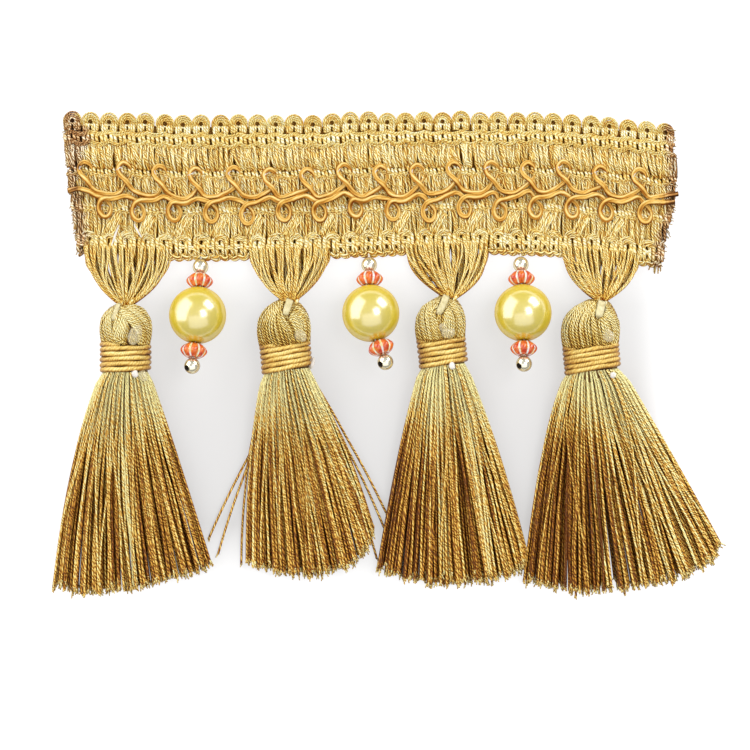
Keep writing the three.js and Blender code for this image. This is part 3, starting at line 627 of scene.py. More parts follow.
class Skein:
    """Strands of one piece: a path for each, with its thickness, tone and stain along it. The tone holds both
    the yarn's own changes of tone and painted shade and light.
    """

    def __init__(self):
        self.parts = []

    def lay(self, path, radius, tone=0.5, stain=0.0):
        count = len(path)
        row = [np.broadcast_to(np.asarray(v, float), (count,)) for v in (radius, tone, stain)]
        self.parts.append(np.column_stack([np.asarray(path, float), *row]))

    def lay_stained(self, path, radius, tone=0.5):
        for run in between_cuts(np.asarray(path, float), 0.15):
            self.lay(run, radius, tone, stain_of(run))

    def mesh(self, name):
        rows = np.vstack(self.parts)
        starts = np.concatenate([[0], np.cumsum([len(part) for part in self.parts])])
        edges = []
        for a, b in zip(starts, starts[1:]):
            edges.append(np.column_stack([np.arange(a, b - 1), np.arange(a + 1, b)]))
        mesh = bpy.data.meshes.new(name)
        mesh.from_pydata((rows[:, :3] * MM).tolist(), np.vstack(edges).tolist(), [])
        keep_on(mesh, "thickness", rows[:, 3] * MM)
        keep_on(mesh, "tone", rows[:, 4])
        keep_on(mesh, "stain", rows[:, 5])
        return mesh


def fill(tree, sockets, values):
    """Sets each socket to its number or colour, or wires another node's output to it."""
    for key, value in values.items():
        if isinstance(value, bpy.types.NodeSocket):
            tree.links.new(value, sockets[key])
        else:
            sockets[key].default_value = value


def add_node(tree, kind, inputs=None, **settings):
    """A new node. Its settings come first, because they can change its sockets."""
    made = tree.nodes.new(kind)
    for key, value in settings.items():
        setattr(made, key, value)
    fill(tree, made.inputs, inputs or {})
    return made


def maths(tree, operation, *values):
    """The result of a Math node on numbers and other nodes' outputs."""
    return add_node(tree, "ShaderNodeMath", dict(enumerate(values)), operation=operation).outputs[0]


def carried(tree, geometry, name, value, domain="POINT"):
    """The geometry with a value that it carries on, and that value."""
    carrier = add_node(tree, "GeometryNodeCaptureAttribute", domain=domain)
    carrier.capture_items.new("FLOAT", name)
    fill(tree, carrier.inputs, {0: geometry, 1: value})
    return carrier.outputs[:2]


def stored(tree, geometry, name, value, kind, domain):
    """The geometry with a value stored under a name, for the finish to read."""
    inputs = {"Geometry": geometry, "Name": name, "Value": value}
    made = add_node(tree, "GeometryNodeStoreNamedAttribute", inputs, data_type=kind, domain=domain)
    return made.outputs[0]


def strand_sweep():
    """Sweeps every strand to a closed round thread with its length and its turn as UV."""
    tree = bpy.data.node_groups.new("strand sweep", "GeometryNodeTree")
    for name, kind in (("Strands", "Geometry"), ("Sides", "Int"), ("Finish", "Material")):
        tree.interface.new_socket(name, in_out="INPUT", socket_type="NodeSocket" + kind)
    tree.interface.new_socket("Thread", in_out="OUTPUT", socket_type="NodeSocketGeometry")
    given = add_node(tree, "NodeGroupInput").outputs

    # Each strand starts somewhere else in the pattern
    line = add_node(tree, "GeometryNodeMeshToCurve", {"Mesh": given["Strands"]}).outputs[0]
    length = add_node(tree, "GeometryNodeSplineParameter").outputs["Length"]
    line, length = carried(tree, line, "Length", length)
    spread = {2: 0.0, 3: START_SPREAD * MM, 8: START_SEED}
    start = add_node(tree, "FunctionNodeRandomValue", spread, data_type="FLOAT")
    line, start = carried(tree, line, "Start", start.outputs[1], "CURVE")
    along = maths(tree, "ADD", length, start)

    ring = add_node(tree, "GeometryNodeCurvePrimitiveCircle", {"Resolution": given["Sides"], "Radius": 1.0})
    around = add_node(tree, "GeometryNodeSplineParameter").outputs["Factor"]
    ring, around = carried(tree, ring.outputs["Curve"], "Around", around)
    thickness = add_node(tree, "GeometryNodeInputNamedAttribute", {"Name": "thickness"}, data_type="FLOAT")
    thread = add_node(
        tree,
        "GeometryNodeCurveToMesh",
        {"Curve": line, "Profile Curve": ring, "Scale": thickness.outputs["Attribute"], "Fill Caps": True},
    ).outputs[0]

    # The face that closes the ring ends at a whole turn, not back at nought
    on_face = {"data_type": "FLOAT", "domain": "FACE"}
    face_mean = add_node(tree, "GeometryNodeFieldOnDomain", {"Value": around}, **on_face).outputs[0]
    seam = maths(tree, "LESS_THAN", maths(tree, "ADD", around, 0.25), face_mean)
    turn = maths(tree, "ADD", around, seam)

    # Painted light and shade: how far each side faces the painted light's way, kept as up for the finish
    normal = add_node(tree, "GeometryNodeInputNormal").outputs[0]
    up = add_node(tree, "ShaderNodeVectorMath", {0: normal, 1: PAINTED_LIGHT_WAY}, operation="DOT_PRODUCT")
    thread = stored(tree, thread, "up", up.outputs["Value"], "FLOAT", "POINT")
    uv = add_node(tree, "ShaderNodeCombineXYZ", {"X": along, "Y": turn}).outputs[0]
    thread = stored(tree, thread, "UVMap", uv, "FLOAT2", "CORNER")
    for kind, inputs in (
        ("GeometryNodeSetShadeSmooth", {"Shade Smooth": True}),
        ("GeometryNodeRealizeInstances", {}),
        ("GeometryNodeSetMaterial", {"Material": given["Finish"]}),
    ):
        thread = add_node(tree, kind, {"Geometry": thread, **inputs}).outputs[0]
    add_node(tree, "NodeGroupOutput", {"Thread": thread})
    return tree


def link(obj):
    bpy.context.scene.collection.objects.link(obj)
    return obj


def swept(name, skein, sides, finish):
    """A plain mesh object of a skein's strands."""
    tree = bpy.data.node_groups.get("strand sweep") or strand_sweep()
    obj = link(bpy.data.objects.new(name, skein.mesh(name)))
    sweep = obj.modifiers.new("Sweep", "NODES")
    sweep.node_group = tree
    keys = {item.name: item.identifier for item in tree.interface.items_tree if item.in_out == "INPUT"}
    sweep[keys["Sides"]] = sides
    sweep[keys["Finish"]] = finish
    shown = obj.evaluated_get(bpy.context.evaluated_depsgraph_get())
    made = bpy.data.meshes.new_from_object(shown)
    lines = obj.data
    obj.modifiers.remove(sweep)
    obj.data = made
    bpy.data.meshes.remove(lines)
    made.name = name
    return obj


def solid(name, points, faces, finish, smooth=True):
    """A mesh object from points in millimetres, with its faces turned outwards."""
    points = np.asarray(points, float)
    mesh = bpy.data.meshes.new(name)
    mesh.from_pydata((points * MM).tolist(), [], faces)
    mesh.validate()
    volume = 0.0
    for face in mesh.polygons:
        corners = [mesh.vertices[i].co for i in face.vertices]
        for b, c in zip(corners[1:], corners[2:]):
            volume += corners[0].dot(b.cross(c))
    if volume < 0:
        mesh.flip_normals()
    if smooth:
        mesh.shade_smooth()
    else:
        mesh.shade_flat()
    mesh.materials.append(finish)
    return link(bpy.data.objects.new(name, mesh))


def tube_faces(rings, around):
    """Faces of a closed tube, from its number of rings and the points round each."""
    faces = []
    for ring in range(rings - 1):
        for i in range(around):
            a = ring * around + i
            b = ring * around + (i + 1) % around
            faces.append((a, b, b + around, a + around))
    faces.append(tuple(range(around)))
    faces.append(tuple((rings - 1) * around + i for i in reversed(range(around))))
    return faces


# Finishes
def plied_yarn():
    """Twisted plies along a thread's UV: where a ply stands up, its fibres, and both as a height."""
    group = bpy.data.node_groups.new("plied yarn", "ShaderNodeTree")
    for name, value in (("Plies", 2.0), ("Turn", 0.0018), ("Fibre", 0.25), ("Wander", 1.4)):
        made = group.interface.new_socket(name, in_out="INPUT", socket_type="NodeSocketFloat")
        made.default_value = value
    for name in ("Ply", "Fibre", "Height"):
        group.interface.new_socket(name, in_out="OUTPUT", socket_type="NodeSocketFloat")
    given = add_node(group, "NodeGroupInput").outputs
    uv = add_node(group, "ShaderNodeUVMap", uv_map="UVMap").outputs[0]
    part = add_node(group, "ShaderNodeSeparateXYZ", {"Vector": uv}).outputs

    away = maths(group, "MULTIPLY", part["X"], WANDERS_PER_METRE)
    uneven = add_node(
        group, "ShaderNodeTexNoise", {"W": away, "Scale": 1.0, "Detail": 1.0}, noise_dimensions="1D"
    ).outputs[0]
    turns = maths(group, "DIVIDE", part["X"], given["Turn"])
    shifted = maths(group, "MULTIPLY_ADD", uneven, given["Wander"], turns)
    wound = maths(group, "ADD", part["Y"], shifted)
    angle = maths(group, "MULTIPLY", maths(group, "MULTIPLY", wound, given["Plies"]), math.pi)
    ply = maths(group, "ABSOLUTE", maths(group, "SINE", angle))

    across = maths(group, "MULTIPLY", wound, FIBRES_ROUND)
    along = maths(group, "MULTIPLY", part["X"], FIBRES_PER_METRE)
    place = add_node(group, "ShaderNodeCombineXYZ", {"X": across, "Y": along}).outputs[0]
    fibre = add_node(
        group, "ShaderNodeTexNoise", {"Vector": place, "Scale": 1.0, "Detail": 2.0}, noise_dimensions="3D"
    ).outputs[0]
    height = maths(group, "ADD", ply, maths(group, "MULTIPLY", fibre, given["Fibre"]))
    add_node(group, "NodeGroupOutput", {"Ply": ply, "Fibre": fibre, "Height": height})


def new_finish(name):
    """An empty finish with its nodes and its shader's sockets."""
    finish = bpy.data.materials.new(name)
    finish.use_nodes = True
    tree = finish.node_tree
    tree.nodes.clear()
    shader = add_node(tree, "ShaderNodeBsdfPrincipled")
    add_node(tree, "ShaderNodeOutputMaterial", {"Surface": shader.outputs[0]})
    return finish, tree, shader.inputs


def place_in(tree, source="Object"):
    """The X, Y and Z of each place on or round the object."""
    place = add_node(tree, "ShaderNodeTexCoord").outputs[source]
    return add_node(tree, "ShaderNodeSeparateXYZ", {"Vector": place}).outputs


def clouds(tree, scale, detail):
    """Soft noise through the object."""
    place = add_node(tree, "ShaderNodeTexCoord").outputs["Object"]
    inputs = {"Vector": place, "Scale": scale, "Detail": detail}
    return add_node(tree, "ShaderNodeTexNoise", inputs).outputs[0]


def kept(tree, name):
    """A value that is kept on the mesh."""
    return add_node(tree, "ShaderNodeAttribute", attribute_name=name).outputs["Fac"]


def facing(tree):
    """0 where a surface faces the eye and 1 at its rim, for gloss, and for the painted sheen and reflection
    in the colours of the pearls and the gilt balls.
    """
    return add_node(tree, "ShaderNodeLayerWeight", {"Blend": 0.5}).outputs["Facing"]


def mixed(tree, share, first, second):
    """The first colour, and the second over it by its share."""
    made = add_node(tree, "ShaderNodeMix", {"Factor": share, 6: first, 7: second}, data_type="RGBA")
    return made.outputs[2]


def ranged(tree, value, low, high, start=0.0, end=1.0, **settings):
    """From start to end while a value goes from low to high."""
    inputs = {"Value": value, 1: low, 2: high, 3: start, 4: end}
    return add_node(tree, "ShaderNodeMapRange", inputs, **settings).outputs[0]


def bumped(tree, height, strength, depth):
    """The normal of a surface with a height on it, whose depth is in millimetres."""
    inputs = {"Height": height, "Strength": strength, "Distance": depth * MM}
    return add_node(tree, "ShaderNodeBump", inputs).outputs[0]


def ramp(tree, factor, stops):
    """Colours from one to the next, at their places between 0 and 1."""
    made = add_node(tree, "ShaderNodeValToRGB", {"Fac": factor})
    line = made.color_ramp
    while len(line.elements) < len(stops):
        line.elements.new(0.5)
    for element, (place, colour) in zip(line.elements, stops):
        element.position = place
        element.color = (*colour, 1)
    return made.outputs["Color"]


# Colours of the yarns, from their deepest shade to their light
YARN = (
    (0.05, (0.26, 0.042, 0.001)),
    (0.30, (0.56, 0.20, 0.010)),
    (0.55, (0.80, 0.50, 0.082)),
    (0.78, (0.93, 0.76, 0.26)),
    (1.00, (0.98, 0.93, 0.58)),
)
SKIRT_YARN = (
    (0.05, (0.12, 0.023, 0.002)),
    (0.30, (0.35, 0.112, 0.008)),
    (0.55, (0.68, 0.340, 0.044)),
    (0.78, (0.98, 0.69, 0.175)),
    (1.00, (1.00, 0.92, 0.44)),
)
HEAD_YARN = (
    (0.05, (0.20, 0.068, 0.006)),
    (0.30, (0.46, 0.210, 0.026)),
    (0.55, (0.76, 0.500, 0.094)),
    (0.78, (0.94, 0.750, 0.225)),
    (1.00, (0.99, 0.930, 0.530)),
)
SCROLL_YARN = (
    (0.05, (0.22, 0.048, 0.002)),
    (0.30, (0.48, 0.180, 0.018)),
    (0.55, (0.69, 0.380, 0.070)),
    (0.78, (0.80, 0.530, 0.150)),
    (1.00, (0.90, 0.700, 0.300)),
)
STAINED = (
    (0.28, (0.045, 0.010, 0.002)),
    (0.50, (0.21, 0.066, 0.013)),
    (0.68, (0.48, 0.22, 0.066)),
    (0.84, (0.78, 0.54, 0.27)),
    (1.00, (0.96, 0.88, 0.66)),
)


def yarn_finish(
    name, tint=(1, 1, 1), plies=2, turn=1.8, twist=0.42, gloss=0.32, raised=0.16, depth=0.45, wander=1.4,
    shine=0.55, stops=YARN
):
    """Glossy twisted yarn. Its tone, its stain and how far each side faces the painted light are kept on its
    strands. Depth sets the painted shade on the sides turned away from that light.
    """
    finish, tree, shader = new_finish(name)
    yarn = add_node(
        tree,
        "ShaderNodeGroup",
        {"Plies": plies, "Turn": turn * MM, "Wander": wander},
        node_tree=bpy.data.node_groups["plied yarn"],
    ).outputs
    parts = (
        (kept(tree, "tone"), 0.6),
        # Painted light and shade: the more a side faces the painted light's way, the lighter it is
        (kept(tree, "up"), depth),
        (yarn["Ply"], twist),
        (clouds(tree, 420.0, 3.0), 0.3),
        (yarn["Fibre"], 0.24),
    )
    level = -0.05 - 0.6 * depth - 0.64 * twist
    for value, share in parts:
        level = maths(tree, "MULTIPLY_ADD", value, share, level)
    clean = ramp(tree, level, [(at, tuple(c * k for c, k in zip(colour, tint))) for at, colour in stops])
    looks = {
        "Base Color": mixed(tree, kept(tree, "stain"), clean, ramp(tree, level, STAINED)),
        "Roughness": maths(tree, "MULTIPLY_ADD", yarn["Ply"], -0.15, gloss + 0.12),
        "Specular IOR Level": shine,
        "Specular Tint": (1.0, 0.86, 0.45, 1),
        "Normal": bumped(tree, yarn["Height"], 1.0, raised),
    }
    fill(tree, shader, looks)
    return finish


def ground_finish():
    """The woven ground behind the yarn work, painted dark as the shade that fills the gaps where the rows
    leave it open.
    """
    finish, tree, shader = new_finish("gimp ground")
    place = place_in(tree)
    weave = []
    for axis, pitch in (("X", 0.65), ("Y", 0.5)):
        weave.append(maths(tree, "SINE", maths(tree, "MULTIPLY", place[axis], 2 * math.pi / (pitch * MM))))
    crossed = maths(tree, "MULTIPLY", *weave)
    level = maths(tree, "MULTIPLY_ADD", crossed, 0.5, 0.5)
    # Painted shade: dark browns for the shadow in the gaps between the rows; the stain keeps its own darker
    # browns
    clean = ramp(tree, level, [(0.0, (0.20, 0.07, 0.004)), (1.0, (0.52, 0.26, 0.03))])
    dyed = ramp(tree, level, [(0.0, (0.05, 0.015, 0.004)), (1.0, (0.13, 0.045, 0.012))])
    looks = {
        "Base Color": mixed(tree, kept(tree, "stain"), clean, dyed),
        "Roughness": 0.75,
        "Normal": bumped(tree, crossed, 0.8, 0.12),
    }
    fill(tree, shader, looks)
    return finish


def speckled_finish(name, colours, roughness, scale, raised=0.0, coat=0.0, alpha=1.0):
    """A plain finish with slow changes of colour and a little unevenness."""
    finish, tree, shader = new_finish(name)
    speckle = clouds(tree, scale, 4.0)
    looks = {
        "Base Color": ramp(tree, speckle, [(0.3, colours[0]), (0.7, colours[1])]),
        "Roughness": roughness,
        "Coat Weight": coat,
        "Coat Roughness": 0.04,
        "Alpha": alpha,
    }
    if raised:
        looks["Normal"] = bumped(tree, speckle, 0.6, raised)
    fill(tree, shader, looks)
    return finish


def rondelle_finish():
    """Clear orange-red glass with silver in its flutes."""
    finish, tree, shader = new_finish("orange red glass")
    swirl = clouds(tree, 900.0, 2.0)
    glow = ramp(tree, swirl, [(0.35, (0.66, 0.045, 0.008)), (0.62, (0.92, 0.20, 0.012))])
    # Painted reflection: the yellow in the silver stands for the pearl seen in it
    silver = ramp(tree, swirl, [(0.4, (0.95, 0.95, 0.92)), (0.68, (0.90, 0.80, 0.30))])
    looks = {
        "Base Color": mixed(tree, ranged(tree, kept(tree, "flute"), 0.5, 0.62), glow, silver),
        "Roughness": 0.05,
        "Transmission Weight": 0.2,
        "IOR": 1.5,
        "Coat Weight": 1.0,
        "Coat Roughness": 0.02,
    }
    fill(tree, shader, looks)
    return finish


def ball_finish():
    """Pale gold plating, almost a mirror, with a painted reflection that deepens it towards its rim and
    painted shade inside its bore.
    """
    finish, tree, shader = new_finish("pale gold plating")
    # Painted reflection: the gold deepens to near black at the rim, for the dark surroundings a mirror would
    # show there
    gold = [
        (0.0, (1.0, 0.95, 0.76)),
        (0.5, (0.92, 0.82, 0.52)),
        (0.8, (0.40, 0.25, 0.08)),
        (1.0, (0.14, 0.07, 0.02)),
    ]
    # Painted shade inside the bore
    inside = (0.01, 0.006, 0.003, 1)
    looks = {
        "Base Color": mixed(tree, kept(tree, "bore"), ramp(tree, facing(tree), gold), inside),
        "Roughness": maths(tree, "MULTIPLY_ADD", clouds(tree, 1400.0, 3.0), 0.1, 0.05),
        "Metallic": 0.8,
    }
    fill(tree, shader, looks)
    return finish


def pearl_finish():
    """Yellow pearl coating: clear broad highlights, a cloudy middle and a painted sheen that deepens its
    colour towards the rim.
    """
    finish, tree, shader = new_finish("yellow pearl")
    rim = facing(tree)
    lustre = [
        (0.1, (0.68, 0.55, 0.070)),
        (0.45, (0.69, 0.55, 0.034)),
        (0.75, (0.71, 0.53, 0.018)),
        (1.0, (0.67, 0.46, 0.008)),
    ]
    looks = {
        # Painted sheen: the colour deepens towards the rim, read from the facing
        "Base Color": ramp(tree, maths(tree, "MULTIPLY_ADD", clouds(tree, 330.0, 4.0), 0.22, rim), lustre),
        "Coat Weight": ranged(tree, rim, 0.45, 0.85, 1.0, 0.0),
        "Coat IOR": 3.1,
        "Coat Roughness": 0.21,
        "Roughness": 0.4,
        "Specular IOR Level": 0.2,
    }
    fill(tree, shader, looks)
    return finish


def make_finishes():
    plied_yarn()
    return {
        "khaki": yarn_finish("khaki picot yarn", (0.93, 0.98, 1.15), turn=1.3),
        "heading": yarn_finish("gold heading yarn", plies=3, turn=3.3, twist=0.75, raised=0.2),
        "pale": yarn_finish("pale stitch yarn", (1.0, 1.06, 1.35), turn=1.3),
        "scroll": yarn_finish(
            "orange gold cord", plies=4, turn=34.0, twist=0.5, gloss=0.52, raised=0.14, depth=0.7, wander=0.1,
            shine=0.28, stops=SCROLL_YARN
        ),
        "hanger": yarn_finish(
            "gold hanger yarn", (1.03, 0.96, 0.74), plies=3, turn=2.6, twist=0.85, raised=0.2
        ),
        "head": yarn_finish(
            "gold head yarn", (1.02, 1, 0.96), plies=3, turn=2.2, twist=0.9, raised=0.24, depth=0.6,
            wander=0.6, stops=HEAD_YARN
        ),
        "skirt": yarn_finish(
            "brown gold skirt yarn", turn=2.0, twist=0.62, gloss=0.34, raised=0.2, depth=0.7, shine=0.55,
            stops=SKIRT_YARN
        ),
        "wrap": yarn_finish(
            "straw wrapping cord", (0.96, 0.98, 1.28), plies=3, turn=2.1, twist=0.2, raised=0.08, depth=0.6,
            stops=HEAD_YARN
        ),
        # Painted shade: the core is dark so that the gaps between the threads over it read as shadow
        "core": speckled_finish("yarn core", ((0.10, 0.045, 0.008), (0.22, 0.11, 0.02)), 0.8, 500.0, 0.1),
        "tie": speckled_finish("cream tape", ((0.54, 0.46, 0.22), (0.76, 0.68, 0.40)), 0.45, 1100.0, 0.12),
        "glue": speckled_finish(
            "clear glue", ((0.70, 0.58, 0.26), (0.95, 0.90, 0.66)), 0.1, 1100.0, 0.4, coat=1.0, alpha=0.36
        ),
        "white": speckled_finish("white glue", ((0.70, 0.65, 0.58), (0.84, 0.80, 0.74)), 0.35, 900.0, 0.1),
        "nylon": speckled_finish(
            "nylon thread", ((0.85, 0.83, 0.72), (0.95, 0.94, 0.88)), 0.2, 900.0, coat=0.6, alpha=0.8
        ),
        "thread": speckled_finish("drop thread", ((0.78, 0.74, 0.6), (0.9, 0.87, 0.75)), 0.4, 900.0, 0.03),
        "pearl": pearl_finish(),
        "ground": ground_finish(),
        "rondelle": rondelle_finish(),
        "ball": ball_finish(),
    }


# Heading
def edge_dip(x, row, rows):
    """How far the ground's edge is moved down: in between the crowns, and less than nought at the hem."""
    wave = np.cos(2 * np.pi * (x - FIRST_PICOT) / PICOT_PITCH)
    if row == 0:
        return 0.6 + PICOT_NOTCH * ((1 - wave) / 2) ** 2
    if row == rows and under_tassel(float(x), 0.2):
        return -1.9
    if row == rows:
        return -0.5 - HEM_NOTCH * ((1 + wave) / 2) ** 3
    return 0.0


def ground_top(rows, columns):
    """A grid of points over the ground, from crown to hem and from cut to cut."""
    top = []
    for row in range(rows + 1):
        down = HEADING_DEPTH * row / rows
        y = heading_y(np.array([-66.0, 60.0]), down)
        left = cut_x(LEFT_CUT, y[0]) + CUT_INSET
        right = cut_x(RIGHT_CUT, y[1]) - CUT_INSET
        for x in np.linspace(left, right, columns + 1):
            depth = down + edge_dip(x, row, rows)
            if 0 < row < 5:
                depth = max(depth, edge_dip(x, 0, rows) + 0.05 * row)
            top.append((x, float(heading_y(x, depth)), GROUND_THICK))
    return np.array(top)


def make_ground(finishes):
    """The thin cloth that carries the work, flat on the table and scalloped at both edges."""
    rows = 30
    columns = PICOTS * 8
    top = ground_top(rows, columns)
    bottom = top.copy()
    bottom[:, 2] = GROUND_FOOT
    count = len(top)
    wide = columns + 1
    faces = []
    for row in range(rows):
        for column in range(columns):
            a = row * wide + column
            faces.append((a, a + wide, a + wide + 1, a + 1))
            faces.append((count + a, count + a + 1, count + a + wide + 1, count + a + wide))
    rim = [*range(wide)]
    rim += [row * wide + columns for row in range(1, rows + 1)]
    rim += [rows * wide + column for column in range(columns - 1, -1, -1)]
    rim += [row * wide for row in range(rows - 1, 0, -1)]
    for a, b in zip(rim, rim[1:] + rim[:1]):
        faces.append((a, b, count + b, count + a))
    points = np.vstack([top, bottom])
    ground = solid("gimp_ground", points, faces, finishes["ground"], smooth=False)
    keep_on(ground.data, "stain", stain_of(points))
    return ground


def picot_loops():
    """Nested arches at the top edge with a small eye, on short pale stitches."""
    rng = np.random.default_rng(3)
    arches = Skein()
    feet = Skein()
    for number in range(PICOTS):
        centre = FIRST_PICOT + PICOT_PITCH * number + rng.normal(0, 0.07)
        rise = rng.normal(0, 0.1)
        for half, lift in PICOT_ARCHES:
            turn = np.linspace(-1, 1, 13) * np.pi / 2
            across = half * np.sin(turn)
            down = 2.0 + rise - (1.13 + rng.normal(0, 0.02)) * half * np.cos(turn)
            across = np.concatenate([[-half * 0.86, -half * 0.93], across, [half * 0.93, half * 0.86]])
            down = np.concatenate([[3.7, 2.9], down, [2.9, 3.7]])
            path = smooth_path(on_band(centre + across, down, lift), 0.32)
            arches.lay_stained(path, PICOT_THREAD, 0.52 + rng.normal(0, 0.13))
        for across, top, foot in PICOT_FEET:
            for side in (-1, 1):
                x = centre + side * (across + np.array([0, 0.04, 0.02, 0.06]))
                down = rise + top + (foot - top) * np.array([0, 0.35, 0.7, 1])
                path = smooth_path(on_band(x, down, np.array([-0.3, 0.15, 0.15, -0.2])), 0.3)
                feet.lay_stained(path, FOOT_THREAD, 0.78 + rng.normal(0, 0.13))
        x = centre + np.array([-0.5, -0.2, 0.2, 0.5])
        path = smooth_path(on_band(x, rise + np.array([2.55, 2.45, 2.6, 2.5]), -0.12), 0.3)
        feet.lay_stained(path, EYE_THREAD, 0.8)
    return arches, feet


def hitches(skein, rng, down, length, pitch, phase, radius, tone, lift, lean, pair, sag=None):
    """Short upright stitches, a pair at each pitch along the heading."""
    count = int((PICOTS + 2) * PICOT_PITCH / pitch)
    for number in range(count):
        middle = FIRST_PICOT - PICOT_PITCH + phase + number * pitch + rng.normal(0, 0.05)
        drop = 0.0 if sag is None else float(sag(middle))
        for side in (-pair, pair):
            x = middle + side + lean * np.array([-1, -0.3, 0.4, 1])
            depth = down + drop + rng.normal(0, 0.06) + length * np.array([0, 0.33, 0.66, 1])
            path = smooth_path(on_band(x, depth, lift + np.array([-0.35, 0, 0, -0.3])), 0.3)
            skein.lay_stained(path, radius, tone + rng.normal(0, 0.13))


def edge_lines():
    """Two lines of three threads that hang from picot to picot."""
    rng = np.random.default_rng(5)
    skein = Skein()
    t = np.linspace(-0.1, 1.1, 9)
    for down, sag in EDGE_LINES:
        for number in range(PICOTS + 3):
            left = FIRST_PICOT - PICOT_PITCH * 2 + number * PICOT_PITCH
            for strand in range(3):
                x = left + PICOT_PITCH * t + rng.normal(0, 0.05)
                hang = sag * np.sin(np.pi * np.clip(t, 0, 1))
                depth = down + strand * 0.27 + hang + rng.normal(0, 0.06)
                high = 0.05 - 0.06 * strand - 0.5 * np.clip(np.abs(2 * t - 1) - 0.6, 0, 1)
                high = high + 0.12 * np.clip(t - 0.5, -1, 1)
                skein.lay_stained(on_band(x, depth, high), EDGE_THREAD, 0.55 + rng.normal(0, 0.12))
    return skein


def edge_stitches():
    """Pale pairs of stitches between the two lines, with a slit between the pairs."""
    skein = Skein()
    hitches(skein, np.random.default_rng(6), **EDGE_STITCH)
    return skein


def shell_row(seed, top, bottom, narrow, tone, lift, belly, slip):
    """Upright threads that fill each shell in two layers and gather at its foot."""
    rng = np.random.default_rng(seed)
    skein = Skein()
    bounds = shell_bounds()
    for left, right in zip(bounds, bounds[1:]):
        centre = (left + right) / 2
        number = max(2, int(round(SHELL_THREADS * (right - left) / SHELL_WIDE)))
        for layer in (0, 1):
            for i in range(number + layer):
                share = (i + 0.5 * (1 - layer)) / number
                start = left + (right - left) * share + rng.normal(0, 0.12)
                end = centre + slip + (start - centre) * narrow + rng.normal(0, 0.2)
                t = np.linspace(0, 1, 8)
                x = start + (end - start) * t**1.8 + rng.normal(0, 0.16) * np.sin(np.pi * t)
                x = x + rng.normal(0, 0.08) * np.sin(2 * np.pi * t)
                depth = top + (bottom - top) * t + rng.normal(0, 0.14)
                high = lift + belly * np.sin(np.pi * t) - 0.34 * layer + rng.normal(0, 0.09)
                path = on_band(x, depth, high + 0.1 * np.sin(5 * t + rng.uniform(0, 6)))
                # Painted shade: the lower layer is darker
                shade = float(tone - 0.2 * layer + rng.normal(0, 0.15))
                for run in between_cuts(path, 0.1):
                    thick = SHELL_THREAD * rng.uniform(0.85, 1.12)
                    skein.lay(run, thick, shade, stain_of(run))
    return skein


def shell_sag(x):
    """How far the middle chain hangs below a shell."""
    bounds = shell_bounds()
    i = min(max(np.searchsorted(bounds, x) - 1, 0), len(bounds) - 2)
    share = (x - bounds[i]) / (bounds[i + 1] - bounds[i])
    return 0.75 * math.sin(math.pi * min(max(share, 0), 1)) ** 2


def chain_line(skein, rng, down, lift, sag):
    """Two threads side by side all along the heading, under a row of stitches."""
    x = np.linspace(-70, 62, 440)
    low = np.array([sag(v) for v in x])
    for strand in (0, 1):
        wave = 0.1 * np.sin(2 * np.pi * x / STITCH_PITCH + 2 * strand) + rng.normal(0, 0.03, len(x))
        path = on_band(x, down + 0.36 * strand + low + wave, lift - 0.12 * strand)
        for run in between_cuts(path, 0.2):
            skein.lay(run, CHAIN_THREAD, 0.5 + rng.normal(0, 0.1, len(run)), stain_of(run))


def middle_chain():
    """Stitches and a line of two threads that hang along the feet of the shells."""
    rng = np.random.default_rng(9)
    skein = Skein()
    hitches(skein, rng, down=11.2, phase=0.2, sag=shell_sag, **CHAIN_STITCH)
    chain_line(skein, rng, down=12.3, lift=0.0, sag=shell_sag)
    return skein


def lower_chain():
    """Stitches and an almost straight line of two threads above the fans."""
    rng = np.random.default_rng(19)
    skein = Skein()
    hitches(skein, rng, down=19.2, phase=0.5, **CHAIN_STITCH)
    chain_line(skein, rng, down=20.3, lift=-0.05, sag=lambda x: 0.1 * math.sin(x))
    return skein


def fan_bounds():
    """Where one fan under the lower cord ends and the next starts."""
    feet = [loop[0] for loop in LOWER_LOOPS]
    bounds = [-67.0, -63.2]
    for a, b in zip(feet, feet[1:] + [feet[-1] + 7.7]):
        bounds += [a, (a + b) / 2]
    return [*bounds, 61.0]


def fan_threads(skein, rng):
    """Upright threads in narrow fans, in two layers."""
    bounds = fan_bounds()
    for left, right in zip(bounds, bounds[1:]):
        centre = (left + right) / 2
        number = max(2, int(round((right - left) / FAN_PITCH)))
        for layer in (0, 1):
            for i in range(number):
                share = (i + 0.5 - 0.4 * layer) / number
                start = left + (right - left) * share + rng.normal(0, 0.1)
                end = centre + (start - centre) * 0.88 + rng.normal(0, 0.18)
                t = np.linspace(0, 1, 8)
                x = start + (end - start) * t + rng.normal(0, 0.2) * np.sin(np.pi * t)
                depth = 20.6 + 5.4 * t + rng.normal(0, 0.12)
                high = -0.32 - 0.4 * layer + 0.15 * np.sin(np.pi * t) + rng.normal(0, 0.08)
                path = on_band(x, depth, high)
                # Painted shade: the lower layer is darker
                tone = 0.6 - 0.2 * layer + rng.normal(0, 0.14)
                for run in between_cuts(path, 0.1):
                    skein.lay(run, FAN_THREAD * rng.uniform(0.85, 1.1), tone, stain_of(run))


def foot_bundles(skein, rng):
    """A slanted bundle of threads beside each foot of the lower cord."""
    for foot in (loop[0] for loop in LOWER_LOOPS[:-1]):
        for i in range(6):
            share = i / 5
            t = np.linspace(0, 1, 8)
            x = foot + 3.0 + 1.3 * (share - 0.5) - (2.6 - 0.3 * share) * t**0.8 + rng.normal(0, 0.12)
            depth = 20.8 + 0.9 * share + (4.3 - 0.5 * share) * t
            path = on_band(x, depth, -0.1 + 0.25 * np.sin(np.pi * t) + rng.normal(0, 0.06))
            skein.lay_stained(path, FAN_THREAD, 0.64 + rng.normal(0, 0.13))


